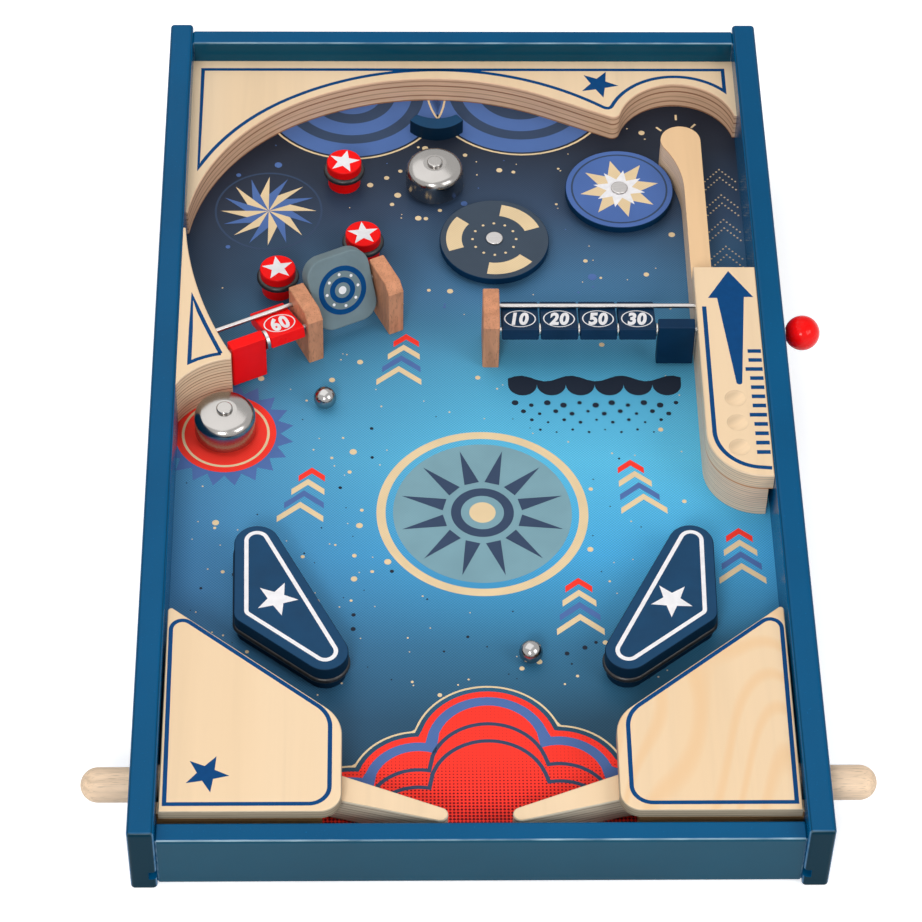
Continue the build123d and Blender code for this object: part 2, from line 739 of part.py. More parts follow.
sling_groove_top = sling_foot + band_section + 2 * band_play
core_inset = band_section - band_bulge + band_play
sling_layers = ((0, sling_foot, sling_foot_inset), (sling_foot, sling_groove_top, core_inset),
                (sling_groove_top, sling_height, 0))
for side, word in SIDES:
    with BuildPart() as slingshot:
        for low, high, inset in sling_layers:
            with BuildSketch(deck.offset(low)):
                sling_outline(side, inset)
            extrude(amount=high - low)
        fillet(top_edges(slingshot), edge_round)
    save(slingshot, f"{word}_slingshot")

    with BuildPart() as band:
        with BuildSketch(deck.offset(sling_foot + band_play)):
            sling_outline(side, -band_bulge)
            offset(amount=-band_section, mode=Mode.SUBTRACT)
        extrude(amount=band_section)
        band_ends = band.faces().sort_by(deck_up)
        fillet(band_ends[0].edges() + band_ends[-1].edges(), band_section / 2 - band_play)
    save(band, f"{word}_slingshot_band")

# Corner covers on their supports, with the flipper, its pin, the push button and its spring below.
cover_outer = inner_half - cover_play
cover_front = front_rail_back + cover_front_gap
pivot = (cover_reach + flipper_pin_inset, button_y + flipper_lever)
elbow = (pivot[0], pivot[1] - flipper_elbow_drop)
flipper_tip = (flipper_gap / 2 + flipper_tip_radius, front_rail_back + flipper_tip_clear + flipper_tip_radius)
collar_inner = inner_half - button_collar
nose_tip = pivot[0] + flipper_root_radius + nose_gap
rib_middle = (nose_tip + collar_inner) / 2
rib_outer = rib_middle + support_rib / 2
rib_inner = rib_middle - support_rib / 2


def cover_outline(side):
    """Outline of a corner cover: a slanted back edge, a wide bend and a rounded front corner."""
    corners = ((cover_outer, cover_back_y), (cover_reach, cover_bend_y), (cover_reach, cover_front),
               (cover_outer, cover_front))
    Polygon(*((side * x, y) for x, y in corners), align=None)


for side, word in SIDES:
    bend = (side * cover_reach, cover_bend_y)
    front_corner = (side * cover_reach, cover_front)
    back_corner = (side * cover_outer, cover_back_y)
    with BuildPart() as cover:
        with BuildSketch(deck.offset(cover_bottom)) as cover_face:
            cover_outline(side)
            fillet(cover_face.vertices().sort_by_distance(bend)[0], cover_bend_radius)
            fillet(cover_face.vertices().sort_by_distance(front_corner)[0], cover_corner_radius)
            fillet(cover_face.vertices().sort_by_distance(back_corner)[0], cover_tip_radius)
        extrude(amount=cover_thick)
        fillet(top_edges(cover), edge_round)
    save(cover, f"{word}_cover")

    # Support: a wall inside the cover's outline, open where the flipper and the button come through,
    # with a rib that guides the button's stem.
    with BuildPart() as support:
        with BuildSketch(deck):
            cover_outline(side)
            offset(amount=-support_inset, mode=Mode.REPLACE)
            offset(amount=-support_wall, mode=Mode.SUBTRACT)
            shoulder = cover_play + support_inset + support_wall
            with Locations((side * (inner_half - push_fit - shoulder / 2),
                            cover_front + support_inset + support_wall / 2)):
                Rectangle(shoulder, support_wall)
            with Locations((side * cover_reach, 0)):
                Rectangle(2 * (support_inset + support_wall), 2 * pivot[1] + 2 * flipper_root_radius,
                          mode=Mode.SUBTRACT)
            with Locations((side * pivot[0], pivot[1])):
                Circle(flipper_root_radius + flipper_clear, mode=Mode.SUBTRACT)
            with Locations((side * inner_half, button_y)):
                Rectangle(4 * (support_inset + support_wall), button_collar_dia + 4 * side_play,
                          mode=Mode.SUBTRACT)
            rib_start = cover_front + support_inset
            rise = (cover_back_y - cover_bend_y) / (cover_outer - cover_reach)
            rib_end = cover_bend_y + rise * (rib_inner - cover_reach) - support_inset - support_wall
            with Locations((side * rib_middle, (rib_start + rib_end) / 2)):
                Rectangle(support_rib, rib_end - rib_start)
        extrude(amount=cover_bottom)
        with BuildSketch(side_plane(deck, side * rib_middle)):
            with Locations((button_y, button_z)):
                Circle(stem_dia / 2 + running_fit)
        extrude(amount=support_rib, both=True, mode=Mode.SUBTRACT)
    save(support, f"{word}_cover_support")

    with BuildPart() as flipper:
        for start, end, end_radius in ((elbow, flipper_tip, flipper_tip_radius),
                                       (elbow, pivot, flipper_root_radius)):
            with BuildSketch(deck.offset(flipper_lift)):
                with Locations((side * start[0], start[1])):
                    Circle(flipper_root_radius)
                with Locations((side * end[0], end[1])):
                    Circle(end_radius)
                make_hull()
            extrude(amount=flipper_thick)
        fillet(top_edges(flipper), edge_round)
        with BuildSketch(deck.offset(flipper_lift)):
            with Locations((side * pivot[0], pivot[1])):
                Circle(flipper_pin_dia / 2 + running_fit)
        extrude(amount=flipper_thick, mode=Mode.SUBTRACT)
    save(flipper, f"{word}_flipper")

    # Button: a dowel with a round end outside, a collar that stops it at the board and a stem whose
    # round nose pushes the flipper.
    outer_tip = tray_width / 2 + button_reach
    profile_plane = Plane(origin=deck.from_local_coords((side * outer_tip, button_y, button_z)),
                          x_dir=deck.x_dir * -side, z_dir=deck.y_dir * side)
    with BuildPart() as button:
        with BuildSketch(profile_plane):
            with BuildLine():
                round_end = RadiusArc((0, 0), (button_dia / 2, button_dia / 2), button_dia / 2)
                nose_arc = RadiusArc((outer_tip - nose_tip - stem_dia / 2, stem_dia / 2),
                                     (outer_tip - nose_tip, 0), stem_dia / 2)
                Polyline(round_end @ 1, (outer_tip - inner_half, button_dia / 2),
                         (outer_tip - inner_half, button_collar_dia / 2),
                         (outer_tip - collar_inner, button_collar_dia / 2),
                         (outer_tip - collar_inner, stem_dia / 2), nose_arc @ 0)
                Line(nose_arc @ 1, round_end @ 0)
            make_face()
        revolve(axis=Axis(profile_plane.origin, profile_plane.x_dir))
    save(button, f"{word}_button")

    # Button spring, as the plain sleeve that its coils fill, between the collar and the rib.
    with BuildPart() as button_spring:
        with BuildSketch(side_plane(deck, side * rib_outer)):
            with Locations((button_y, button_z)):
                Circle(button_spring_dia / 2)
                Circle(button_spring_dia / 2 - 2 * spring_wire + panel_play, mode=Mode.SUBTRACT)
        extrude(amount=side * (collar_inner - rib_outer))
    save(button_spring, f"{word}_button_spring")

with BuildPart() as flipper_pins:
    pin_places = [(side * pivot[0], pivot[1]) for side, word in SIDES]
    for height, diameter in ((flipper_lift - panel_play, flipper_shoulder_dia),
                             (cover_bottom, flipper_pin_dia)):
        with BuildSketch(deck):
            with Locations(*pin_places):
                Circle(diameter / 2)
        extrude(amount=height)
save(flipper_pins, "flipper_pins")

# Steel balls lying on the playfield.
ball_places = {"ball_upper": (ball_upper_x, gates_y - ball_upper_drop),
               "ball_lower": (ball_lower_x, ball_lower_y)}
for name, (x, y) in ball_places.items():
    with BuildPart() as ball:
        with Locations(deck.location * Location((x, y, ball_dia / 2 + ball_gap))):
            Sphere(ball_dia / 2)
    save(ball, name)
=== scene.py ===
"""Finishes and prints for a wooden tabletop pinball game, laid out as an add-on and run as a script."""
import math
import random

import bmesh
import bpy
from mathutils import Euler, Matrix, Vector


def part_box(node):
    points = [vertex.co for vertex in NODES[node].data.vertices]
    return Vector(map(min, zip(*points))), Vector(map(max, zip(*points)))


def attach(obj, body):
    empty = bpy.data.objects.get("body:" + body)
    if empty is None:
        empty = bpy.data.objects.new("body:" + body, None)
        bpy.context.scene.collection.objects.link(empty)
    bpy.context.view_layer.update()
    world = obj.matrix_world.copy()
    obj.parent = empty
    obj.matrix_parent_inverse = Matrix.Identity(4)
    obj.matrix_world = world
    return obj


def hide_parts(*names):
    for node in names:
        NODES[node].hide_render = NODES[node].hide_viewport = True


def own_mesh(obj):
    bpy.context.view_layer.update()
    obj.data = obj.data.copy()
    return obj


bl_info = {
    "name": "Tabletop Pinball Finish",
    "version": (1, 0, 0),
    "blender": (4, 5, 0),
    "location": "View3D > Sidebar > Pinball",
    "description": "Paints, woods, metals and prints for a wooden tabletop pinball game",
    "category": "Object",
}

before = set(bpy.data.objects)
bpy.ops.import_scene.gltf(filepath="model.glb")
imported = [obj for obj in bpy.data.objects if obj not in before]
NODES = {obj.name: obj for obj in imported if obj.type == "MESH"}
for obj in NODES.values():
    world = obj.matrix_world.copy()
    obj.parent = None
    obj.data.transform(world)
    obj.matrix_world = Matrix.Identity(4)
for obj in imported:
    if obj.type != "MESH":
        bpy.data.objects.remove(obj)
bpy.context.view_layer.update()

MM = 0.001
# The tray leans towards the player, so its prints are drawn on a leaning deck: x across, y back from
# the front ends of the side boards and z up from the playfield, all in millimetres.
DECK_TILT = math.radians(5)
DECK_ORIGIN = (0.0, -0.322848, 0.015929)
DECK = Matrix.Translation(DECK_ORIGIN) @ Matrix.Rotation(DECK_TILT, 4, "X")
DECK_UP = (0.0, -math.sin(DECK_TILT), math.cos(DECK_TILT))
DECK_FRONT = (0.0, -math.cos(DECK_TILT), -math.sin(DECK_TILT))

# Heights above the playfield of the faces that carry prints
ARCH_TOP = 20
GUIDE_TOP = 36
LAUNCHER_TOP = 36
COVER_TOP = 30
SLING_TOP = 20
BUMPER_TOP = 19.5
DISC_TOP = 9.5

# The navy lines: arcs on the arch as x, y and radius, and a cover's corners as x, y and radius
HAUNCH_LINE = (-38.3, 468.6, 149.1)
CROWN_LINE = (-17.7, 435.7, 187.9)
LANE_LINE = (140.4, 571, 46.3)
HAUNCH_TURN = 122
ARCH_NOSE = (96.2, 585.1)
ARCH_SIDE = 173.4
ARCH_BACK = 623.9
COVER_LINE = ((176.2, 160.5, 6.5), (84, 86.7, 19), (84, 25.4, 11.5), (175.3, 25.4, 0))

# Places and sizes on the deck, as in the solids; hills and chevrons as x, y and radius or lean
SLING_LINE = ((128.6, 220.3, 6.2), (130.1, 168.5, 3.5), (87.5, 138.5, 6.2))
BUMPERS = ((-79, 538), (-120.4, 442.7), (-66.5, 473))
LEFT_DISC = (17.8, 477.5)
RIGHT_DISC = (100.2, 523)
LOWER_BELL = (-150.5, 321)
LEFT_GATE_TURN = math.radians(25.5)
LEFT_GATE_X = -147 - 1.6 * math.sin(LEFT_GATE_TURN)
LEFT_GATE_Y = 355 + 1.6 * math.cos(LEFT_GATE_TURN)
LEFT_GATE = (Matrix.Translation((LEFT_GATE_X * MM, LEFT_GATE_Y * MM, 0))
             @ Matrix.Rotation(LEFT_GATE_TURN, 4, "Z"))
RIGHT_GATE = Matrix.Translation((141 * MM, 375.5 * MM, 0))
TAB_PITCH = 24.24
TAB_WIDTH = 22.84
RED_TAB_START = 27.14
TAB_HALF_THICK = 4
AXLE_BACK = 4.5
AXLE_HEIGHT = 30
ROD_BACK = 24.5
TAB_UP = math.radians(73.74)
SPINNER_U = 85.6
SPINNER_LEAN = math.radians(27)
SPINNER_HALF_THICK = 5
RING_MIDDLE = 6.4
RING_WIDTH = 0.75
SCALE_EDGE = 178.6
ROSETTE = (6, 258)
PINWHEEL = (-128, 512)
FANS = ((-74, 622), (38, 626))
HILLS = ((-72, 34, 34), (-34, 56, 36), (6, 84, 40), (46, 60, 36), (80, 40, 34))
CHEVRONS = ((104, 268, -14), (-104, 262, 14), (160, 214, 0), (-44, 372, 10), (62, 176, 0))

# Digits: height and width of the letters as shares of the text's size, their slant and their weight
DIGIT_HEIGHT = 0.72
DIGIT_WIDTH = 0.58
DIGIT_SLANT = 0.2
DIGIT_WEIGHT = 0.0009

# Lengths in the materials, in metres
FIELD_FRONT, FIELD_BACK = 0.016, 0.632
BOARD_FROM, BOARD_TO = 0.1796, 0.1806
SEAM_HEIGHT = 0.0241
THREAD_PITCH = 0.0019
HALFTONE_PITCH = 0.0031
HALFTONE_END = 0.078

# The stage: lights as name, place, size and power, and the camera as read from the photo
LIGHTS = (("key_light", (-0.5, 0.4, 2.1), 2.6, 22.5), ("fill_light", (1.7, -1.3, 1.6), 1.2, 18),
          ("front_light", (-0.5, -2.2, 1.5), 0.7, 26))
FLOOR_SIZE = 12
FLOOR_GLOW = 0.5
WORLD_LIGHT = 0.36
CAMERA_LENS = 134.99
CAMERA_PLACE = (-0.05477, -1.06538, 1.61334)
CAMERA_TURN = (40.2244, -0.9536, -0.9074)


def srgb(red, green, blue):
    """Linear colour from the 0 to 255 values of a screen colour."""
    def linear(value):
        value = value / 255
        return value / 12.92 if value <= 0.04045 else ((value + 0.055) / 1.055) ** 2.4
    return (linear(red), linear(green), linear(blue))


def colour(name, default, words):
    return bpy.props.FloatVectorProperty(name=name, description=words, default=srgb(*default), size=3,
                                         subtype="COLOR", min=0.0, max=1.0)


def length(name, default, words):
    return bpy.props.FloatProperty(name=name, description=words, default=default * MM, min=0.0,
                                   subtype="DISTANCE", unit="LENGTH", precision=5)


class PinballColours(bpy.types.PropertyGroup):
    tray: colour("Tray paint", (2, 82, 126), "Petrol-blue paint of the boards and rails")
    birch: colour("Birch face", (239, 211, 175), "Flat faces of the birch plywood")
    birch_edge: colour("Birch edge", (212, 186, 156), "Layers in the plywood's edges")
    birch_line: colour("Birch line", (158, 106, 76), "Thin lines between the layers")
    divider: colour("Divider face", (238, 200, 156), "Top of the lane divider")
    beech: colour("Beech", (206, 143, 108), "Posts of the score gates")
    dowel: colour("Bare dowel", (232, 204, 174), "Flipper buttons")
    red: colour("Red paint", (255, 14, 14), "Bumpers, red tabs and launcher knob")
    navy: colour("Navy paint", (26, 66, 100), "Slingshots and deflector")
    navy_tab: colour("Dark navy paint", (6, 42, 72), "Score tabs")
    grey: colour("Grey paint", (112, 130, 136), "Spinner plate")
    print_navy: colour("Navy print", (8, 68, 122), "Lines and stars on the bare wood")
    print_white: colour("White print", (240, 238, 240), "Lines and stars on the paint")
    print_cream: colour("Cream print", (232, 206, 164), "Dots and rays on the playfield")
    print_blue: colour("Periwinkle print", (82, 112, 170), "Periwinkle shapes on the playfield")
    print_slate: colour("Slate print", (58, 74, 100), "Slate shapes on the playfield")
    print_teal: colour("Grey-green print", (126, 164, 176), "Grey-green shapes on the playfield")
    print_dark: colour("Charcoal print", (36, 44, 58), "Charcoal shapes on the playfield")
    print_red: colour("Red print", (255, 60, 48), "Red shapes on the playfield")


class PinballSizes(bpy.types.PropertyGroup):
    ink: length("Ink thickness", 0.1, "How thick each print is, most of it sunk in what it lies on")
    lift: length("Ink lift", 0.04, "How far the lowest print stands above its surface")
    border_width: length("Border width", 2.5, "Width of the navy lines on the wood")
    sling_line: length("Slingshot line", 2.5, "Width of the white line")
    spring_wire: length("Spring wire", 1.5, "Thickness of the springs' wire")
    ring_radius: length("Number ring", 9.9, "Radius of the ring round each tab's number")
    number_height: length("Number height", 13.6, "Height of the numbers on the tabs")


def looks():
    return bpy.context.scene.pinball_colours


def sizes():
    return bpy.context.scene.pinball_sizes


# Materials

class Recipe:
    """One material's nodes, with short calls to add and join them."""

    def __init__(self, name, roughness, specular=0.5, metallic=0.0):
        self.material = bpy.data.materials.new(name)
        self.material.use_nodes = True
        self.tree = self.material.node_tree
        self.shader = self.tree.nodes["Principled BSDF"]
        self.set("Roughness", roughness)
        self.set("Specular IOR Level", specular)
        self.set("Metallic", metallic)

    def node(self, kind, inputs=None, **settings):
        made = self.tree.nodes.new(kind)
        for key, value in settings.items():
            setattr(made, key, value)
        for key, value in (inputs or {}).items():
            self.feed(made, key, value)
        return made

    def feed(self, node, socket, value):
        """Give a node's input a value or another node's output."""
        if isinstance(value, bpy.types.NodeSocket):
            self.tree.links.new(value, node.inputs[socket])
        else:
            node.inputs[socket].default_value = value

    def set(self, socket, value):
        self.feed(self.shader, socket, value)

    def coords(self):
        """Object coordinates, in metres."""
        return self.node("ShaderNodeTexCoord").outputs["Object"]

    def deck(self):
        """Object coordinates turned into the leaning deck's own, in metres."""
        inputs = {"Vector": self.coords(), "Location": DECK_ORIGIN, "Rotation": (DECK_TILT, 0, 0)}
        return self.node("ShaderNodeMapping", inputs, vector_type="TEXTURE").outputs["Vector"]

    def split(self, vector):
        return self.node("ShaderNodeSeparateXYZ", {"Vector": vector}).outputs

    def stretch(self, vector, scale, turn=(0, 0, 0)):
        inputs = {"Vector": vector, "Scale": scale, "Rotation": turn}
        return self.node("ShaderNodeMapping", inputs).outputs["Vector"]

    def noise(self, vector, scale, detail=2.0, roughness=0.5, distortion=0.0):
        inputs = {"Vector": vector, "Scale": scale, "Detail": detail, "Roughness": roughness,
                  "Distortion": distortion}
        return self.node("ShaderNodeTexNoise", inputs).outputs["Fac"]

    def math(self, operation, first, second=0.0, third=0.0):
        return self.node("ShaderNodeMath", {0: first, 1: second, 2: third}, operation=operation).outputs[0]

    def sine(self, value, factor):
        return self.math("SINE", self.math("MULTIPLY", value, factor))

    def span(self, value, low, high, to_low=0.0, to_high=1.0):
        """A value's range moved onto another, and held there."""
        inputs = {"Value": value, "From Min": low, "From Max": high, "To Min": to_low, "To Max": to_high}
        return self.node("ShaderNodeMapRange", inputs).outputs[0]

    def ramp(self, value, stops):
        made = self.node("ShaderNodeValToRGB", {"Fac": value})
        elements = made.color_ramp.elements
        while len(elements) < len(stops):
            elements.new(0.5)
        for element, (place, tint) in zip(elements, stops):
            element.position = place
            element.color = (*tint, 1.0)
        return made.outputs["Color"]

    def mix(self, share, first, second):
        """Two colours mixed: the colour sockets of the node are its inputs 6 and 7 and its output 2."""
        first, second = (tint if isinstance(tint, bpy.types.NodeSocket) else (*tint, 1.0)
                         for tint in (first, second))
        return self.node("ShaderNodeMix", {0: share, 6: first, 7: second}, data_type="RGBA").outputs[2]

    def finish(self, tint, height, distance, strength):
        """The material, with its colour and the bumps that a height makes."""
        self.set("Base Color", tint)
        inputs = {"Height": height, "Distance": distance, "Strength": strength}
        self.set("Normal", self.node("ShaderNodeBump", inputs).outputs["Normal"])
        return self.material

    def facing(self, way):
        """1 on faces turned to a direction, 0 on those across it, -1 on those turned away."""
        normal = self.node("ShaderNodeTexCoord").outputs["Normal"]
        dot = self.node("ShaderNodeVectorMath", {0: normal, 1: way}, operation="DOT_PRODUCT")
        return dot.outputs["Value"]

    def level(self):
        """1 on faces that lie level with the deck, 0 on their sides."""
        return self.span(self.math("ABSOLUTE", self.facing(DECK_UP)), 0.75, 0.9)

    def gloss(self, level, side):
        """How strongly faces reflect: those level with the deck, and the sides and rounded edges."""
        self.set("Specular IOR Level", self.span(self.level(), 0, 1, side, level))


def shade(tint, factor):
    return tuple(min(1.0, channel * factor) for channel in tint)


def tray_paint():
    """Satin paint over sanded board: brush-flat, a little uneven, with painted light and shade on the faces
    that stand up from the deck and a painted highlight along the rounded edges that face the front.
    """
    recipe = Recipe("tray_paint", 0.3)
    base = looks().tray
    coords = recipe.coords()
    patches = recipe.noise(coords, 9, detail=4)
    tint = recipe.ramp(patches, ((0.3, shade(base, 0.88)), (0.7, shade(base, 1.1))))
    speck = recipe.noise(coords, 900, detail=1)
    tint = recipe.mix(recipe.span(speck, 0.70, 0.78, 0.0, 0.35), tint, shade(base, 1.9))
    # Painted light and shade on the faces that stand up from the deck: darker and greyer where they face
    # front or back, darkest on the side boards' ends, lighter where they face the sides.
    side = recipe.ramp(patches, ((0.3, srgb(8, 66, 88)), (0.7, srgb(12, 74, 98))))
    from_middle = recipe.math("ABSOLUTE", recipe.split(coords)[0])
    side = recipe.mix(recipe.span(from_middle, BOARD_FROM, BOARD_TO), side, srgb(6, 46, 62))
    across = recipe.math("ABSOLUTE", recipe.facing((1.0, 0.0, 0.0)))
    side = recipe.mix(recipe.span(across, 0.6, 0.8), side, shade(base, 1.25))
    tint = recipe.mix(recipe.level(), side, tint)
    # Painted highlight: a pale line along the rounded edges that face the front, broken into streaks and
    # fainter on the side boards.
    ahead = recipe.facing(DECK_FRONT)
    painted_highlight = recipe.math("MULTIPLY", recipe.span(ahead, 0.25, 0.4), recipe.span(ahead, 0.8, 0.65))
    streaks = recipe.noise(recipe.stretch(coords, (40, 200, 200)), 1, detail=3)
    painted_highlight = recipe.math("MULTIPLY", painted_highlight, recipe.span(streaks, 0.35, 0.65, 0.2, 0.7))
    painted_highlight = recipe.math("MULTIPLY", painted_highlight, recipe.span(from_middle, BOARD_FROM, BOARD_TO, 1.0, 0.25))
    fibre = recipe.noise(recipe.stretch(coords, (120, 30, 120)), 1, detail=3)
    recipe.set("Roughness", recipe.span(patches, 0.3, 0.7, 0.16, 0.24))
    recipe.gloss(0.07, recipe.span(from_middle, BOARD_FROM, BOARD_TO, 0.11, 0.04))
    return recipe.finish(recipe.mix(painted_highlight, tint, srgb(176, 206, 220)), fibre, 0.0001, 0.2)


def birch_ply(name, face, edge, line, period, seam=False, figure=0.0, dents=False):
    """Pale faces with a fine grain, and edges with thin lines between the layers."""
    recipe = Recipe(name, 0.42)
    deck = recipe.deck()
    along = recipe.noise(recipe.stretch(deck, (70, 3, 70)), 1, detail=4, roughness=0.6, distortion=0.4)
    broad = recipe.noise(recipe.stretch(deck, (14, 2, 14)), 1)
    top = recipe.ramp(along, ((0.25, shade(face, 0.93)), (0.5, face), (0.75, shade(face, 1.03))))
    top = recipe.mix(recipe.span(broad, 0.4, 0.75, 0.0, 0.45), top,
                     (face[0] * 0.95, face[1] * 0.88, face[2] * 0.78))
    if figure:
        hills = recipe.noise(recipe.stretch(deck, (10, 4, 10)), 1, detail=1, distortion=0.2)
        rings = recipe.sine(hills, 85)
        top = recipe.mix(recipe.span(rings, 0.1, 1.0, 0.0, figure), top,
                         (face[0] * 0.96, face[1] * 0.82, face[2] * 0.66))
    if dents:
        # Painted shade on the dents' slopes that face front and right, and a painted highlight on those
        # that face back and left.
        turned = recipe.facing((0.55, -0.83, 0.0))
        top = recipe.mix(recipe.span(turned, 0.11, 0.4, 0.0, 0.75), top, shade(face, 0.68))
        top = recipe.mix(recipe.span(turned, 0.0, -0.2, 0.0, 0.7), top, shade(face, 1.12))
    up = recipe.split(deck)[2]
    wobble = recipe.noise(recipe.stretch(deck, (25, 25, 8)), 1)
    wobble = recipe.math("MULTIPLY", wobble, 1.8)
    layer = recipe.math("MULTIPLY_ADD", up, 2 * math.pi / (period * MM), wobble)
    wave = recipe.math("SINE", layer)
    beat = recipe.sine(layer, 0.37)
    streak = recipe.noise(recipe.stretch(deck, (45, 45, 1500)), 1, detail=3)
    side = recipe.ramp(streak, ((0.3, shade(edge, 0.86)), (0.5, edge), (0.72, shade(edge, 1.1))))
    thin = recipe.math("MULTIPLY", recipe.span(wave, 0.5, 0.92), recipe.span(beat, -1, 0.6, 0.4, 1.0))
    side = recipe.mix(thin, side, line)
    if seam:
        off = recipe.math("ABSOLUTE", recipe.math("SUBTRACT", up, SEAM_HEIGHT))
        side = recipe.mix(recipe.span(off, 0.0005, 0.0009, 0.85, 0.0), side, srgb(216, 150, 98))
    recipe.gloss(0.1, 0.2)
    return recipe.finish(recipe.mix(recipe.level(), side, top), along, 0.00008, 0.3)


def beech(name="beech", base=None, grain=(30, 30, 6)):
    """Warm wood with short dark flecks along its grain."""
    recipe = Recipe(name, 0.45, specular=0.12)
    base = base or looks().beech
    deck = recipe.deck()
    broad = recipe.noise(recipe.stretch(deck, grain), 6, detail=4, distortion=0.5)
    tint = recipe.ramp(broad, ((0.3, shade(base, 0.8)), (0.52, base), (0.72, shade(base, 1.16))))
    fleck = recipe.noise(recipe.stretch(deck, tuple(40 * value for value in grain)), 1, detail=1)
    tint = recipe.mix(recipe.span(fleck, 0.58, 0.68, 0.0, 0.6), tint, shade(base, 0.6))
    return recipe.finish(tint, fleck, 0.00008, 0.3)


def gloss_paint(name, base, roughness, side):
    """Smooth, slightly uneven paint on turned or cut wood, with painted shade on the sides: there the
    colour is the paint's times the side factor.
    """
    recipe = Recipe(name, roughness)
    recipe.gloss(0.08, 0.18 * side)
    coords = recipe.coords()
    patches = recipe.noise(coords, 60, detail=3)
    tint = recipe.ramp(patches, ((0.3, shade(base, 0.9)), (0.7, shade(base, 1.08))))
    # Painted shade: the sides darkened by the side factor.
    if side < 1:
        tint = recipe.mix(recipe.level(), shade(base, side), tint)
    recipe.set("Roughness", recipe.span(patches, 0.3, 0.7, roughness - 0.05, roughness + 0.07))
    return recipe.finish(tint, recipe.noise(coords, 500), 0.00006, 0.35)


def metal(name, base, roughness, streaks=(60, 60, 60)):
    """Polished or drawn metal with faint streaks."""
    recipe = Recipe(name, roughness, metallic=1.0)
    deck = recipe.deck()
    streak = recipe.noise(recipe.stretch(deck, streaks), 1)
    recipe.set("Base Color", recipe.ramp(streak, ((0.3, shade(base, 0.95)), (0.7, shade(base, 1.04)))))
    recipe.set("Roughness", recipe.span(streak, 0.3, 0.7, roughness * 0.88, roughness * 1.12))
    return recipe.material


def rubber():
    recipe = Recipe("black_rubber", 0.38)
    dust = recipe.noise(recipe.coords(), 350, detail=3)
    tint = recipe.ramp(dust, ((0.35, (0.006, 0.006, 0.007)), (0.75, (0.02, 0.02, 0.022))))
    return recipe.finish(tint, dust, 0.00005, 0.3)


def weave(recipe, deck):
    """Fine crossed threads of the printed sheet, as a height from 0 to 1."""
    across, back, up = recipe.split(deck)
    turns = 2 * math.pi / THREAD_PITCH
    crossed = recipe.math("MULTIPLY", recipe.sine(across, turns), recipe.sine(back, turns))
    return recipe.math("MULTIPLY_ADD", crossed, 0.5, 0.5)


def print_sheet(name, base, edge=None):
    """Ink on the woven sheet; a painted edge where the piece has one."""
    recipe = Recipe(name, 0.45, specular=0.06)
    deck = recipe.deck()
    threads = weave(recipe, deck)
    cloud = recipe.noise(deck, 40, detail=3)
    tint = recipe.ramp(cloud, ((0.3, shade(base, 0.97)), (0.7, shade(base, 1.09))))
    tint = recipe.mix(recipe.span(threads, 0.0, 1.0, 0.0, 0.24), tint, shade(base, 0.6))
    if edge:
        tint = recipe.mix(recipe.level(), edge, tint)
    return recipe.finish(tint, threads, 0.00004, 0.3)


def ink(name, base):
    """Ink on wood or paint."""
    recipe = Recipe(name, 0.4, specular=0.06)
    cloud = recipe.noise(recipe.coords(), 220, detail=3)
    tint = recipe.ramp(cloud, ((0.3, shade(base, 0.92)), (0.7, shade(base, 1.04))))
    return recipe.finish(tint, cloud, 0.00002, 0.2)


def playfield_sheet():
    """Night to day and back to night from the far end to the player, darker towards the sides: the print's
    own colours with painted shade in them, the arch's shadow at the far end and the side boards' shade at
    the sides, more on the left.
    """
    recipe = Recipe("playfield_sheet", 0.36, specular=0.08)
    deck = recipe.deck()
    across, back, up = recipe.split(deck)
    far = recipe.span(back, FIELD_FRONT, FIELD_BACK)
    # The stops hold the print's colours with painted shade in them; the dark at the far end is partly the
    # arch's shadow.
    middle = ((0.0, srgb(36, 60, 76)), (0.14, srgb(46, 84, 108)), (0.23, srgb(62, 126, 164)),
              (0.34, srgb(82, 186, 242)), (0.46, srgb(102, 208, 250)), (0.58, srgb(90, 180, 220)),
              (0.68, srgb(80, 134, 176)), (0.80, srgb(66, 86, 114)), (0.9, srgb(44, 46, 56)),
              (1.0, srgb(38, 36, 42)))
    sides = ((0.0, srgb(32, 54, 70)), (0.3, srgb(76, 132, 180)), (0.5, srgb(82, 142, 186)),
             (0.7, srgb(50, 60, 78)), (0.82, srgb(44, 44, 54)), (1.0, srgb(34, 32, 38)))
    # Partly painted shade of the side boards: the darkening is centred right of the middle, so the left
    # side is darker.
    off = recipe.math("ABSOLUTE", recipe.math("SUBTRACT", across, 0.09))
    tint = recipe.mix(recipe.span(off, 0.08, 0.25, 0.0, 0.84), recipe.ramp(far, middle),
                      recipe.ramp(far, sides))
    threads = weave(recipe, deck)
    tint = recipe.mix(recipe.span(threads, 0.0, 1.0, 0.0, 0.46), tint, srgb(18, 44, 66))
    tint = recipe.mix(recipe.level(), srgb(190, 160, 124), tint)
    return recipe.finish(tint, threads, 0.00005, 0.35)


def halftone_red():
    """Red ink that breaks into dark dots towards the player."""
    recipe = Recipe("halftone_red", 0.42, specular=0.05)
    deck = recipe.deck()
    turned = recipe.split(recipe.stretch(deck, (1, 1, 1), (0, 0, math.radians(45))))
    turns = 2 * math.pi / HALFTONE_PITCH
    dots = recipe.math("MULTIPLY", recipe.sine(turned[0], turns), recipe.sine(turned[1], turns))
    near = recipe.span(recipe.split(deck)[1], FIELD_FRONT, HALFTONE_END, -0.35, 0.95)
    mark = recipe.span(recipe.math("SUBTRACT", dots, near), -0.08, 0.08)
    tint = recipe.mix(mark, looks().print_red, srgb(110, 16, 26))
    return recipe.finish(tint, weave(recipe, deck), 0.00004, 0.3)


def dress(material, *names):
    """Give CAD nodes a material."""
    for name in names:
        piece = NODES[name]
        if not piece.material_slots:
            piece.data.materials.append(material)
        for held in piece.material_slots:
            held.material = material


# Prints: each is a thin slab of ink, stamped flat on the deck's plane in edit mode and then laid down

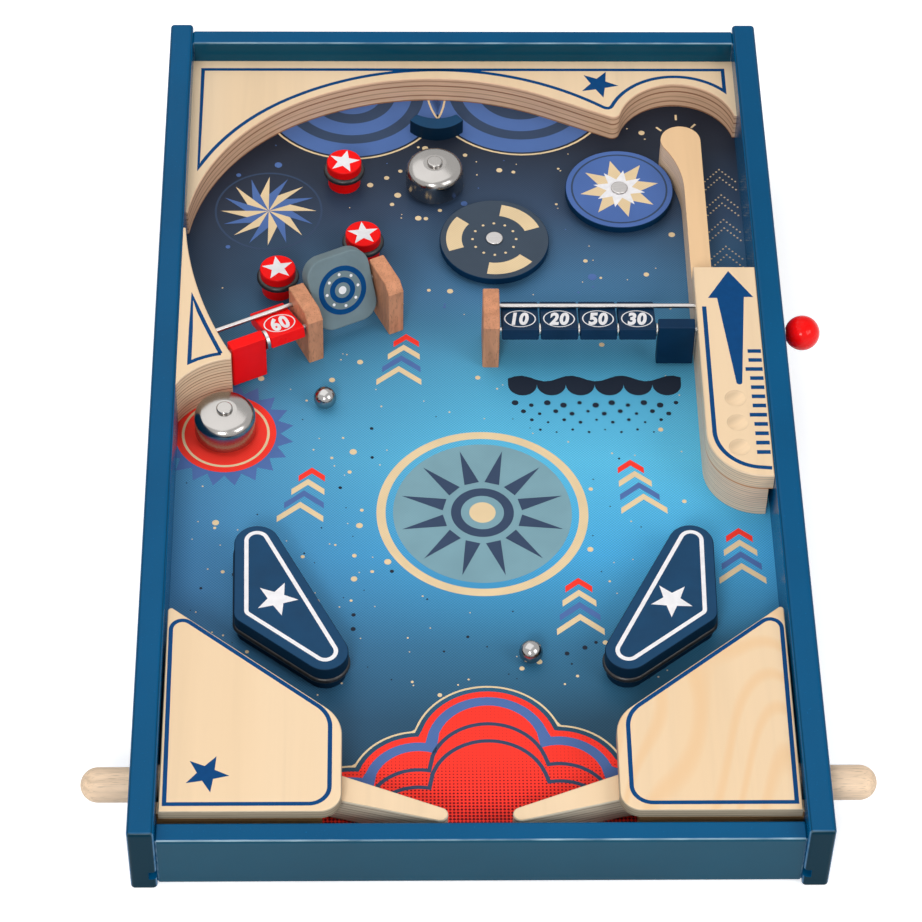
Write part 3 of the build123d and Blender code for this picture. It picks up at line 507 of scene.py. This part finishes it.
def ready():
    if bpy.context.object and bpy.context.object.mode != "OBJECT":
        bpy.ops.object.mode_set(mode="OBJECT")
    bpy.ops.object.select_all(action="DESELECT")


def modify(kind, **settings):
    """Add a modifier to the piece in hand and apply it."""
    bpy.ops.object.modifier_add(type=kind)
    added = bpy.context.object.modifiers[-1]
    for key, value in settings.items():
        setattr(added, key, value)
    bpy.ops.object.modifier_apply(modifier=added.name)


def begin(name):
    """A new empty mesh in edit mode, for stamps."""
    ready()
    bpy.ops.mesh.primitive_circle_add(vertices=3, radius=0.01, fill_type="NGON", location=(0, 0, 0))
    piece = bpy.context.object
    piece.name = name
    piece.data.name = name
    bpy.ops.object.mode_set(mode="EDIT")
    bpy.ops.mesh.delete(type="VERT")


def stamp_disc(x, y, radius, sides=24):
    bpy.ops.mesh.select_all(action="DESELECT")
    bpy.ops.mesh.primitive_circle_add(vertices=sides, radius=radius * MM, fill_type="NGON",
                                      location=(x * MM, y * MM, 0))


def stamp_ring(x, y, radius, width, sides=64):
    stamp_disc(x, y, radius, sides)
    bpy.ops.mesh.inset(thickness=width * MM)
    bpy.ops.mesh.delete(type="FACE")


def stamp_shape(points):
    """Any flat outline, from a circle whose corners are moved to the points."""
    bpy.ops.mesh.select_all(action="DESELECT")
    bpy.ops.mesh.primitive_circle_add(vertices=len(points), radius=MM, fill_type="NGON", location=(0, 0, 0))
    mesh = bmesh.from_edit_mesh(bpy.context.object.data)
    stamped = next(face for face in mesh.faces if face.select)
    for corner, (x, y) in zip(stamped.verts, points):
        corner.co = (x * MM, y * MM, 0)
    stamped.normal_update()
    bmesh.update_edit_mesh(bpy.context.object.data)


def stamp_star(x, y, radius, points=5, depth=0.41, turn=90):
    """A star: every second corner drawn in."""
    reaches = (radius, radius * depth) * points
    stamp_shape([around(x, y, reach, turn + step * 180 / points) for step, reach in enumerate(reaches)])


def stamp_line(points, width):
    """A stroke of even width through the points, mitred at its corners."""
    points = [Vector(point) for point in points]
    runs = [(after - before).normalized() for before, after in zip(points, points[1:])]
    left, right = [], []
    for index, point in enumerate(points):
        before = runs[max(index - 1, 0)]
        after = runs[min(index, len(runs) - 1)]
        along = (before + after).normalized()
        reach = width / 2 / max(along.dot(after), 0.35)
        across = Vector((-along.y, along.x)) * reach
        left.append(point + across)
        right.append(point - across)
    stamp_shape(right + left[::-1])


def stamp_loop(points, width):
    """A closed stroke, in two halves that meet in the middle of a straight run."""
    longest = max(range(len(points)), key=lambda index: math.dist(points[index], points[index - 1]))
    points = points[longest:] + points[:longest]
    start = tuple((a + b) / 2 for a, b in zip(points[0], points[-1]))
    middle = len(points) // 2
    stamp_line([start, *points[:middle + 1]], width)
    stamp_line([*points[middle:], start], width)


def rounded(corners):
    """Points of a polygon whose corners, given as x, y and radius, are rounded."""
    points = []
    for index, (x, y, radius) in enumerate(corners):
        corner = Vector((x, y))
        if not radius:
            points.append((x, y))
            continue
        before = (Vector(corners[index - 1][:2]) - corner).normalized()
        after = (Vector(corners[(index + 1) % len(corners)][:2]) - corner).normalized()
        half = before.angle(after) / 2
        middle = corner + (before + after).normalized() * radius / math.sin(half)
        first = corner + before * radius / math.tan(half) - middle
        last = corner + after * radius / math.tan(half) - middle
        turn = first.angle_signed(last)
        for step in range(13):
            spoke = first.copy()
            spoke.rotate(Matrix.Rotation(-turn * step / 12, 2))
            points.append(tuple(middle + spoke))
    return points


def hull(circles):
    """Outline round some circles, given as x, y and radius."""
    spots = sorted(spot for x, y, radius in circles for spot in arc(x, y, radius, 0, 357.5, 143))
    sides = []
    for run in (spots, spots[::-1]):
        side = []
        for spot in run:
            while len(side) > 1 and ((side[-1][0] - side[-2][0]) * (spot[1] - side[-2][1])
                                     <= (side[-1][1] - side[-2][1]) * (spot[0] - side[-2][0])):
                side.pop()
            side.append(spot)
        sides += side[:-1]
    return sides


def around(x, y, reach, turn):
    """The point at a distance from another, in a direction in degrees."""
    angle = math.radians(turn)
    return (x + reach * math.cos(angle), y + reach * math.sin(angle))


def arc(x, y, radius, start, end, steps):
    """Points along an arc, angles in degrees."""
    return [around(x, y, radius, start + (end - start) * step / steps) for step in range(steps + 1)]


def lay(ink_name, body="tray", height=0, layer=0, place=DECK):
    """End the print in hand: give it its thickness and ink, put it on its surface and let it ride."""
    bpy.ops.object.mode_set(mode="OBJECT")
    piece = bpy.context.object
    modify("SOLIDIFY", thickness=sizes().ink, offset=-1)
    up = height * MM + sizes().lift * (1 + 0.5 * layer)
    piece.matrix_world = place @ Matrix.Translation((0, 0, up))
    bpy.ops.object.transform_apply()
    piece.data.materials.clear()
    piece.data.materials.append(bpy.data.materials[ink_name])
    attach(piece, body)


class PinballOperator(bpy.types.Operator):
    """A step in finishing the game"""
    bl_options = {"REGISTER", "UNDO"}


class PINBALL_OT_tray(PinballOperator):
    """Paint the boards, rails and feet"""
    bl_idname = "pinball.tray"
    bl_label = "Paint the tray"

    def execute(self, context):
        dress(tray_paint(), "left_side_board", "right_side_board", "front_rail", "back_rail",
              "left_rear_foot", "right_rear_foot")
        return {"FINISHED"}


class PINBALL_OT_woods(PinballOperator):
    """Give the plywood, beech and dowel pieces their grain"""
    bl_idname = "pinball.woods"
    bl_label = "Finish the woods"

    def execute(self, context):
        face = looks().birch
        edge = looks().birch_edge
        line = looks().birch_line
        grey = srgb(179, 166, 144)
        plies = (
            ("arch", face, srgb(230, 190, 157), line, 4.3, {}, "top_arch"),
            ("guide", face, shade(edge, 1.27), line, 2.6, {}, "left_guide"),
            ("launcher", face, shade(edge, 1.45), shade(edge, 0.8), 1.7, {"seam": True, "dents": True},
             "launcher_cover"),
            ("divider", looks().divider, srgb(250, 216, 184), shade(edge, 0.75), 1.7, {"seam": True},
             "lane_divider"),
            ("cover", face, grey, shade(grey, 0.5), 2.2, {}, "left_cover"),
            ("figured", face, grey, shade(grey, 0.5), 2.2, {"figure": 0.6}, "right_cover"),
            ("flipper", face, srgb(219, 210, 190), shade(edge, 0.5), 2.2, {}, "left_flipper",
             "right_flipper"),
            ("support", face, srgb(169, 132, 90), srgb(120, 88, 58), 2.2, {}, "left_cover_support",
             "right_cover_support"))
        for name, top, side, thin, period, extra, *nodes in plies:
            dress(birch_ply(f"birch_ply_{name}", top, side, thin, period, **extra), *nodes)
        dress(beech(), "left_gate_post", "middle_gate_post", "right_gate_post", "launcher_slider")
        dress(beech("raw_dowel", looks().dowel, grain=(3, 40, 40)), "left_button", "right_button")
        return {"FINISHED"}


class PINBALL_OT_paints(PinballOperator):
    """Paint the tabs, bumpers, slingshots, deflector, spinner and knob"""
    bl_idname = "pinball.paints"
    bl_label = "Paint the small pieces"

    def execute(self, context):
        red = looks().red
        # Each row: name, colour, roughness, the share of the colour kept on the sides as painted shade, and
        # the nodes.
        paints = (
            ("red", red, 0.32, 1, "red_tab_plain", "red_tab_60"),
            ("bumper", red, 0.32, 0.75, "top_bumper", "left_bumper", "right_bumper"),
            ("knob", red, 0.13, 1, "launcher_knob"),
            ("tab", looks().navy_tab, 0.4, 1, "score_tab_10", "score_tab_20", "score_tab_50",
             "score_tab_30", "score_tab_plain"),
            ("block", looks().navy, 0.4, 0.35, "left_slingshot", "right_slingshot", "deflector_block"),
            ("grey", looks().grey, 0.42, 1, "spinner_plate"))
        for name, tint, roughness, side, *nodes in paints:
            dress(gloss_paint(f"{name}_paint", tint, roughness, side), *nodes)
        return {"FINISHED"}


class PINBALL_OT_metals(PinballOperator):
    """Polish the bells and balls, draw the rods and blacken the rubber"""
    bl_idname = "pinball.metals"
    bl_label = "Finish metal and rubber"

    def execute(self, context):
        dress(metal("polished_nickel", (0.345, 0.33, 0.315), 0.2), "top_bell", "lower_bell", "bell_posts")
        dress(metal("ball_steel", (0.36, 0.35, 0.345), 0.14), "ball_upper", "ball_lower")
        dress(metal("drawn_steel", (0.46, 0.44, 0.43), 0.3, (60, 2500, 2500)), "left_tab_axle",
              "left_stop_rod", "right_tab_axle", "right_stop_rod", "disc_pins", "flipper_pins",
              "launcher_rod")
        dress(metal("washer_steel", (0.5, 0.49, 0.48), 0.3), "tab_spacers")
        dress(rubber(), "bumper_rings", "left_slingshot_band", "right_slingshot_band")
        return {"FINISHED"}


def wind(node, axis, turns):
    """A coil of some turns in a sleeve's place along an axis."""
    low, high = (Vector(corner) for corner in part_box(node))
    middle = (low + high) / 2
    span = high - low
    if axis.x:
        run, radius = span.x, span.y / 2
    else:
        run, radius = (span.y - span.x * axis.z) / axis.y, span.x / 2
    wire = sizes().spring_wire
    ready()
    bpy.ops.mesh.primitive_circle_add(vertices=10, radius=wire / 2, location=(radius - wire / 2, 0, 0),
                                      rotation=(math.radians(90), 0, 0))
    piece = bpy.context.object
    piece.name = f"{node}_coil"
    piece.data.name = piece.name
    bpy.ops.object.transform_apply()
    modify("SCREW", axis="Z", iterations=turns, screw_offset=(run - wire) / turns, steps=24,
           render_steps=24)
    bpy.ops.object.mode_set(mode="EDIT")
    bpy.ops.mesh.select_all(action="SELECT")
    bpy.ops.mesh.fill_holes(sides=0)
    bpy.ops.mesh.select_all(action="SELECT")
    bpy.ops.mesh.normals_make_consistent(inside=False)
    bpy.ops.object.mode_set(mode="OBJECT")
    turn = axis.to_track_quat("Z", "Y").to_matrix().to_4x4()
    piece.matrix_world = Matrix.Translation(middle - axis * (run - wire) / 2) @ turn
    bpy.ops.object.transform_apply()
    bpy.ops.object.shade_smooth()
    piece.data.materials.clear()
    piece.data.materials.append(bpy.data.materials["drawn_steel"])
    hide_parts(node)
    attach(piece, "tray")
    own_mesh(piece)


class PINBALL_OT_springs(PinballOperator):
    """Wind the coil springs in place of the plain sleeves"""
    bl_idname = "pinball.springs"
    bl_label = "Wind the springs"

    def execute(self, context):
        back = Vector((0, math.cos(DECK_TILT), math.sin(DECK_TILT)))
        wind("launcher_spring", back, 20)
        wind("left_button_spring", Vector((1, 0, 0)), 7)
        wind("right_button_spring", Vector((1, 0, 0)), 7)
        return {"FINISHED"}


def arch_line():
    """Two arcs that meet in a rounded nose over the lane, and run out to the sides and the back."""
    left_end = 180 - math.degrees(math.acos((ARCH_SIDE + HAUNCH_LINE[0]) / HAUNCH_LINE[2]))
    right_end = math.degrees(math.acos((ARCH_SIDE - LANE_LINE[0]) / LANE_LINE[2]))
    wide = arc(*HAUNCH_LINE, left_end, HAUNCH_TURN, 16) + arc(*CROWN_LINE, HAUNCH_TURN, 54.6, 40)[1:]
    small = arc(*LANE_LINE, 155.5, right_end, 36)
    before, nose, after = Vector(wide[-1]), Vector(ARCH_NOSE), Vector(small[0])
    shares = [step / 8 for step in range(1, 8)]
    bend = [tuple(before.lerp(nose, share).lerp(nose.lerp(after, share), share)) for share in shares]
    return wide + bend + small + [(ARCH_SIDE, ARCH_BACK), (-ARCH_SIDE, ARCH_BACK)]


class PINBALL_OT_borders(PinballOperator):
    """Draw the lines inside the edges of the arch, covers and slingshots"""
    bl_idname = "pinball.borders"
    bl_label = "Print the borders"

    def execute(self, context):
        ink("navy_ink", looks().print_navy)
        ink("white_ink", looks().print_white)
        width = sizes().border_width / MM
        begin("arch_border")
        stamp_loop(arch_line(), width)
        lay("navy_ink", height=ARCH_TOP)
        for side, word in ((-1, "left"), (1, "right")):
            begin(f"{word}_cover_border")
            stamp_loop([(side * x, y) for x, y in rounded(COVER_LINE)], width)
            lay("navy_ink", height=COVER_TOP)
            begin(f"{word}_slingshot_border")
            stamp_loop([(side * x, y) for x, y in hull(SLING_LINE)], sizes().sling_line / MM)
            lay("white_ink", height=SLING_TOP)
        begin("guide_border")
        bend = [(-172.3, 402.9), (-168, 390.5), (-163.3, 378.4), (-158.3, 366.4), (-153.3, 354.8)]
        foot = [(-158.2, 353.7), (-162.8, 352.2), (-167.6, 350.2), (-172.3, 347.5)]
        stamp_loop(bend + foot, width)
        lay("navy_ink", height=GUIDE_TOP)
        return {"FINISHED"}


class PINBALL_OT_stars(PinballOperator):
    """Print the stars on the arch, the left cover, the slingshots and the bumpers"""
    bl_idname = "pinball.stars"
    bl_label = "Print the stars"

    def execute(self, context):
        begin("arch_star")
        stamp_star(89.9, 610.1, 13.1, turn=66)
        lay("navy_ink", height=ARCH_TOP)
        begin("cover_star")
        stamp_star(-152.6, 45.8, 12.9, turn=65.5)
        lay("navy_ink", height=COVER_TOP)
        for word, x, y, turn in (("left", -116.2, 176.8, 68.8), ("right", 114.7, 175.3, 50.4)):
            begin(f"{word}_slingshot_star")
            stamp_star(x, y, 12.7, turn=turn)
            lay("white_ink", height=SLING_TOP)
        begin("bumper_stars")
        for (x, y), turn in zip(BUMPERS, (78, 100, 96)):
            stamp_star(x, y, 10.2, turn=turn)
        lay("white_ink", height=BUMPER_TOP)
        return {"FINISHED"}


def print_number(words, body, face):
    """Slanted bold digits: text made a mesh, narrowed, centred in its ring and laid like a stamp."""
    ready()
    bpy.ops.object.text_add(location=(0, 0, 0))
    piece = bpy.context.object
    piece.name = f"number_{words}"
    piece.data.body = words
    piece.data.size = sizes().number_height / DIGIT_HEIGHT
    piece.data.offset = DIGIT_WEIGHT
    piece.data.space_character = 1.1
    piece.data.shear = DIGIT_SLANT
    piece.data.resolution_u = 4
    bpy.ops.object.convert(target="MESH")
    piece = bpy.context.object
    piece.data.name = piece.name
    bpy.ops.object.shade_flat()
    bpy.ops.object.origin_set(type="ORIGIN_GEOMETRY", center="BOUNDS")
    bpy.ops.object.location_clear()
    bpy.ops.object.mode_set(mode="EDIT")
    bpy.ops.mesh.select_all(action="SELECT")
    bpy.ops.mesh.remove_doubles(threshold=1e-6)
    bpy.ops.mesh.normals_make_consistent(inside=False)
    bpy.ops.transform.resize(value=(DIGIT_WIDTH, 1, 1), center_override=(0, 0, 0))
    bpy.ops.transform.translate(value=(0, RING_MIDDLE * MM, 0))
    lay("white_ink", body=body, height=TAB_HALF_THICK, place=face)


class PINBALL_OT_numbers(PinballOperator):
    """Print the ringed numbers on the raised tabs"""
    bl_idname = "pinball.numbers"
    bl_label = "Print the numbers"

    def execute(self, context):
        marks = [(words, f"tab_{words}", RIGHT_GATE, place * TAB_PITCH, "navy_paint")
                 for words, place in (("10", -5), ("20", -4), ("50", -3), ("30", -2))]
        marks.append(("60", "red_60", LEFT_GATE, RED_TAB_START, "red_paint"))
        flat = Matrix.Rotation(math.radians(-90), 4, "X")
        for words, body, gate, start, slot in marks:
            axle = Matrix.Translation(((start + TAB_WIDTH / 2) * MM, AXLE_BACK * MM, AXLE_HEIGHT * MM))
            face = DECK @ gate @ axle @ Matrix.Rotation(TAB_UP, 4, "X") @ flat
            begin(f"ring_{words}")
            stamp_ring(0, RING_MIDDLE, sizes().ring_radius / MM, RING_WIDTH)
            lay("white_ink", body=body, height=TAB_HALF_THICK, place=face)
            print_number(words, body, face)
        return {"FINISHED"}


class PINBALL_OT_launcher_marks(PinballOperator):
    """Print the launcher cover's line, arrow and scale, and the lane's dotted arrows"""
    bl_idname = "pinball.launcher_marks"
    bl_label = "Print the launcher marks"

    def execute(self, context):
        begin("launcher_line")
        run = [(145.9, 394), (145.9, 292)] + arc(174.2, 291.4, 28.3, 180, 262, 14) + [(SCALE_EDGE, 262.6)]
        stamp_line(run, 2.7)
        lay("navy_ink", height=LAUNCHER_TOP)
        begin("launcher_arrow")
        stamp_shape([*arc(163.6, 331, 1.8, 186, 354, 8), (171.2, 402), (177, 402), (162.8, 424.2),
                     (148.7, 401.2), (154.4, 401.2)])
        lay("navy_ink", height=LAUNCHER_TOP)
        begin("launcher_scale")
        for step in range(12):
            y = 356.6 - 7.41 * step
            reach = 10.5 if step in (2, 7) else 8.2
            stamp_line([(SCALE_EDGE - reach, y), (SCALE_EDGE, y)], 3.0)
        lay("navy_ink", height=LAUNCHER_TOP)
        print_sheet("cream_ink", looks().print_cream)
        begin("lane_arrows")
        for y in (550, 526.5, 504, 480):
            for drop in (0, -7.5):
                for step in range(-5, 6):
                    stamp_disc(167.8 + step * 2.0, y + drop - abs(step) * 2.2, 0.62, 8)
        lay("cream_ink")
        begin("lane_rays")
        for near, far in (((131.6, 586.4), (128.4, 589.8)), ((142, 596.6), (142, 601.6)),
                          ((151.6, 589.2), (154.6, 592.8))):
            stamp_line([near, far], 1.4)
        lay("cream_ink")
        return {"FINISHED"}


# Places that the loose dots leave free: x, y and radius
BUSY = ((*ROSETTE, 68), (*LOWER_BELL, 44), (*PINWHEEL, 38), *((x, y, 17) for x, y in BUMPERS),
        (*LEFT_DISC, 40), (*RIGHT_DISC, 40), *((x, y, 64) for x, y in FANS), (78, 350, 40), (6, 84, 46),
        *((x, y + 11, 24) for x, y, lean in CHEVRONS))


def put(ink_name, layer=0):
    lay(ink_name, layer=layer)


def front_hills():
    """Round banded hills that rise from the front rail."""
    base, side = 12, 96

    def crest(swell):
        """The hills' skyline from left to right, with every hill made larger or smaller."""
        line = []
        for x in range(-side, side + 1, 2):
            tops = [y + math.sqrt(max((radius + swell) ** 2 - (x - middle) ** 2, 0))
                    for middle, y, radius in HILLS if abs(x - middle) < radius + swell]
            line.append((x, max(tops, default=base)))
        return line

    begin("front_red")
    stamp_shape([(side, base), *reversed(crest(0)), (-side, base)])
    put("halftone_red")
    bands = (("front_hills_cream", "cream_ink", 4, 2.8), ("front_hills_blue", "periwinkle_ink", -4, -10))
    for name, ink_name, upper, lower in bands:
        begin(name)
        stamp_shape([*crest(lower), *reversed(crest(upper))])
        put(ink_name, 1)
    begin("front_hills_slate")
    for drop in (17, 29):
        stamp_line([(x, y - drop) for x, y in crest(-6) if abs(x) < 72], 2.4)
    put("slate_ink", 1)


def rosette():
    """A large ring with a many-pointed rosette in the middle of the field."""
    x, y = ROSETTE
    begin("rosette_disc")
    stamp_disc(x, y, 54, 96)
    put("grey_green_ink")
    begin("rosette_petals")
    for step in range(12):
        turn = step * 30 + 15
        stamp_shape([around(x, y, reach, turn + lean) for reach, lean in ((50, 0), (24, -11), (24, 11))])
    stamp_ring(x, y, 19, 6)
    put("slate_ink", 1)
    begin("rosette_ring")
    stamp_ring(x, y, 64, 5.5, 96)
    stamp_disc(x, y, 8, 32)
    put("cream_ink", 1)


def bell_target():
    """Rings round the lower bell, over a ring of short points."""
    x, y = LOWER_BELL
    begin("target_points")
    stamp_star(x, y, 42, points=20, depth=0.8, turn=9)
    put("periwinkle_ink")
    begin("target_disc")
    stamp_disc(x, y, 31, 64)
    put("red_ink", 1)
    begin("target_ring")
    stamp_ring(x, y, 27, 1.6)
    put("cream_ink", 2)


def top_fans():
    """Banded fans under the arch, on both sides of the deflector."""
    inks = (("top_fans_blue", "periwinkle_ink", 0, ((60, 12), (40, 11), (20, 20))),
            ("top_fans_slate", "slate_ink", 0, ((48, 8), (29, 9))),
            ("top_fans_cream", "cream_ink", 1, ((62.8, 1.3),)))
    for name, ink_name, layer, bands in inks:
        begin(name)
        for x, y in FANS:
            for radius, width in bands:
                inner = max(radius - width, 0.3)
                stamp_shape(arc(x, y, radius, 180, 360, 30) + arc(x, y, inner, 360, 180, 30))
        put(ink_name, layer)


def pinwheel():
    """A pinwheel at the upper left."""
    x, y = PINWHEEL
    vanes = (("pinwheel_cream", "cream_ink", 0), ("pinwheel_blue", "periwinkle_ink", 22.5))
    for name, ink_name, offset in vanes:
        begin(name)
        for step in range(8):
            turn = step * 45 + offset
            stamp_shape([(x, y), around(x, y, 31, turn), around(x, y, 15, turn + 22.5)])
        put(ink_name, 1 if offset else 0)
    begin("pinwheel_rim")
    stamp_ring(x, y, 35, 1.3, 72)
    put("slate_ink")


def gate_wave():
    """A dark scalloped band with dots, in front of the right gate."""
    begin("gate_wave")
    outline = [(24 + 4.5 * step, 366 + 2.4 * math.sin(step * 0.9)) for step in range(25)]
    for step in range(6):
        outline += arc(123 - 18 * step, 361, 9, 0, -180, 12)
    stamp_shape(outline)
    for row, (y, radius) in enumerate(((346, 2.1), (339, 1.6), (332, 1.2), (324, 0.9))):
        for step in range(11 - row):
            size = radius * (0.7 if step % 3 == 1 else 1)
            stamp_disc(28 + 5 * row + 10 * step, y - 2 * (step % 2), size, 16)
    put("charcoal_ink")


def chevrons():
    """Nested chevrons that point up the field from the slingshots and beside the right lane."""
    inks = (("chevrons_cream", "cream_ink", (0, 2)), ("chevrons_blue", "periwinkle_ink", (1,)),
            ("chevrons_red", "red_ink", (3,)))
    for name, ink_name, steps in inks:
        begin(name)
        for x, y, lean in CHEVRONS:
            for step in steps:
                rise = 9 * step
                tip = (x + math.tan(math.radians(lean)) * rise, y + rise)
                half = 14 - 2 * step
                foot = tip[1] - half * 0.8
                lower = [(tip[0] - half, foot), tip, (tip[0] + half, foot)]
                stamp_shape(lower + [(across, back + 4.6) for across, back in reversed(lower)])
        put(ink_name, 1)


def dots():
    """Loose dots over the whole field, more of them towards the far end."""
    draw = random.Random(7)
    inks = (("dots_cream", "cream_ink", 330, 1.9, 120, 590),
            ("dots_blue", "periwinkle_ink", 44, 2.6, 420, 590),
            ("dots_dark", "charcoal_ink", 120, 1.2, 130, 340))
    for name, ink_name, count, largest, low, high in inks:
        begin(name)
        for step in range(count):
            x = draw.uniform(-174, 138)
            y = draw.uniform(low, high)
            radius = 0.4 + largest * draw.random() ** 3
            if all(math.dist((x, y), spot[:2]) > spot[2] for spot in BUSY):
                stamp_disc(x, y, radius, 12)
        put(ink_name, 2)


class PINBALL_OT_playfield(PinballOperator):
    """Colour the playfield and print plain geometric shapes on it"""
    bl_idname = "pinball.playfield"
    bl_label = "Print the playfield"

    def execute(self, context):
        dress(playfield_sheet(), "playfield_panel")
        halftone_red()
        print_sheet("periwinkle_ink", looks().print_blue)
        print_sheet("slate_ink", looks().print_slate)
        print_sheet("grey_green_ink", looks().print_teal)
        print_sheet("charcoal_ink", looks().print_dark)
        print_sheet("red_ink", looks().print_red)
        for draw in (front_hills, rosette, bell_target, top_fans, pinwheel, gate_wave, chevrons, dots):
            draw()
        return {"FINISHED"}


class PINBALL_OT_discs(PinballOperator):
    """Finish the spinning discs and print plain shapes on them"""
    bl_idname = "pinball.discs"
    bl_label = "Finish the discs"

    def execute(self, context):
        rim = srgb(6, 44, 74)
        dress(print_sheet("dark_disc_sheet", srgb(66, 78, 92), edge=rim), "left_disc")
        dress(print_sheet("blue_disc_sheet", srgb(80, 110, 172), edge=rim), "right_disc")
        x, y = LEFT_DISC
        begin("left_disc_wedges")
        for step in range(3):
            turn = 20 + 120 * step
            stamp_shape(arc(x, y, 31, turn, turn + 60, 20) + arc(x, y, 21, turn + 60, turn, 20))
        lay("cream_ink", body="left_disc", height=DISC_TOP)
        begin("left_disc_dots")
        for step in range(12):
            stamp_disc(*around(x, y, 14, 30 * step), 0.9, 12)
        lay("cream_ink", body="left_disc", height=DISC_TOP)
        x, y = RIGHT_DISC
        begin("right_disc_star")
        stamp_star(x, y, 26, points=8, depth=0.5, turn=11)
        lay("cream_ink", body="right_disc", height=DISC_TOP)
        begin("right_disc_inner")
        stamp_star(x, y, 17, points=8, depth=0.5, turn=33.5)
        lay("white_ink", body="right_disc", height=DISC_TOP, layer=1)
        begin("right_disc_ring")
        stamp_ring(x, y, 31.5, 1.2)
        lay("slate_ink", body="right_disc", height=DISC_TOP)
        return {"FINISHED"}


class PINBALL_OT_spinner(PinballOperator):
    """Print a plain target on the spinner plate"""
    bl_idname = "pinball.spinner"
    bl_label = "Print the spinner"

    def execute(self, context):
        middle = Matrix.Translation((SPINNER_U * MM, ROD_BACK * MM, AXLE_HEIGHT * MM))
        face = DECK @ LEFT_GATE @ middle @ Matrix.Rotation(math.radians(90) - SPINNER_LEAN, 4, "X")
        begin("spinner_rings")
        stamp_ring(0, 0, 16, 3.4)
        stamp_ring(0, 0, 8.5, 3.4)
        lay("navy_ink", body="spinner", height=SPINNER_HALF_THICK, place=face)
        begin("spinner_dots")
        for step in range(8):
            stamp_disc(*around(0, 0, 10.6, 45 * step), 1.0, 12)
        stamp_disc(0, 0, 2.6, 24)
        lay("white_ink", body="spinner", height=SPINNER_HALF_THICK, place=face)
        return {"FINISHED"}


def seen_rays(tree):
    """1 for rays from the camera, off a shine or through glass, and 0 for those that only light things."""
    path = tree.nodes.new("ShaderNodeLightPath")
    seen = path.outputs["Is Camera Ray"]
    for name in ("Is Glossy Ray", "Is Transmission Ray"):
        either = tree.nodes.new("ShaderNodeMath")
        either.operation = "MAXIMUM"
        tree.links.new(seen, either.inputs[0])
        tree.links.new(path.outputs[name], either.inputs[1])
        seen = either.outputs[0]
    return seen


def add_floor():
    ready()
    bpy.ops.mesh.primitive_plane_add(size=FLOOR_SIZE, location=(0, 0, 0))
    floor = bpy.context.object
    floor.name = "floor"
    recipe = Recipe("floor_white", 0.9, specular=0.1)
    recipe.set("Base Color", (0.92, 0.92, 0.92, 1))
    recipe.set("Emission Color", (1, 1, 1, 1))
    recipe.set("Emission Strength", recipe.math("MULTIPLY", seen_rays(recipe.tree), FLOOR_GLOW))
    floor.data.materials.append(recipe.material)


def add_lights():
    """Square lights that all point at the middle of the floor."""
    for name, place, size, power in LIGHTS:
        ready()
        bpy.ops.object.light_add(type="AREA", location=place)
        lamp = bpy.context.object
        lamp.name = name
        lamp.data.size = size
        lamp.data.energy = power
        lamp.rotation_euler = (-Vector(place)).to_track_quat("-Z", "Y").to_euler()


def add_world():
    """A white room: bright where it is seen, dim where it only gives light."""
    world = bpy.data.worlds.new("studio")
    bpy.context.scene.world = world
    world.use_nodes = True
    tree = world.node_tree
    backdrop = tree.nodes["Background"]
    backdrop.inputs["Color"].default_value = (1, 1, 1, 1)
    strength = tree.nodes.new("ShaderNodeMapRange")
    strength.inputs["To Min"].default_value = WORLD_LIGHT
    strength.inputs["To Max"].default_value = 1.0
    tree.links.new(seen_rays(tree), strength.inputs["Value"])
    tree.links.new(strength.outputs[0], backdrop.inputs["Strength"])


def add_camera():
    ready()
    bpy.ops.object.camera_add()
    camera = bpy.context.object
    camera.name = "photo_camera"
    camera.data.sensor_width = 36
    camera.data.lens = CAMERA_LENS
    camera.data.clip_end = 50
    turn = Euler([math.radians(angle) for angle in CAMERA_TURN]).to_matrix().to_4x4()
    camera.matrix_world = DECK @ Matrix.Translation(CAMERA_PLACE) @ turn
    bpy.context.scene.camera = camera


class PINBALL_OT_stage(PinballOperator):
    """Add the floor, the soft lights and the camera"""
    bl_idname = "pinball.stage"
    bl_label = "Set the stage"

    def execute(self, context):
        add_floor()
        add_lights()
        add_world()
        add_camera()
        bpy.context.scene.view_settings.view_transform = "Standard"
        return {"FINISHED"}


STEPS = (PINBALL_OT_tray, PINBALL_OT_woods, PINBALL_OT_paints, PINBALL_OT_metals, PINBALL_OT_springs,
         PINBALL_OT_borders, PINBALL_OT_stars, PINBALL_OT_numbers, PINBALL_OT_launcher_marks,
         PINBALL_OT_playfield, PINBALL_OT_discs, PINBALL_OT_spinner, PINBALL_OT_stage)


class PINBALL_PT_steps(bpy.types.Panel):
    """The steps, in order, with the colours and sizes they use"""
    bl_idname = "PINBALL_PT_steps"
    bl_label = "Tabletop Pinball"
    bl_space_type = "VIEW_3D"
    bl_region_type = "UI"
    bl_category = "Pinball"

    def draw(self, context):
        for step in STEPS:
            self.layout.operator(step.bl_idname)
        for group in (context.scene.pinball_colours, context.scene.pinball_sizes):
            for name in group.__annotations__:
                self.layout.prop(group, name)


CLASSES = (PinballColours, PinballSizes, *STEPS, PINBALL_PT_steps)


def register():
    for each in CLASSES:
        bpy.utils.register_class(each)
    bpy.types.Scene.pinball_colours = bpy.props.PointerProperty(type=PinballColours)
    bpy.types.Scene.pinball_sizes = bpy.props.PointerProperty(type=PinballSizes)


def unregister():
    del bpy.types.Scene.pinball_sizes
    del bpy.types.Scene.pinball_colours
    for each in reversed(CLASSES):
        bpy.utils.unregister_class(each)


def main():
    register()
    for step in STEPS:
        group, name = step.bl_idname.split(".")
        getattr(getattr(bpy.ops, group), name)()
    ready()


if __name__ == "__main__":
    main()
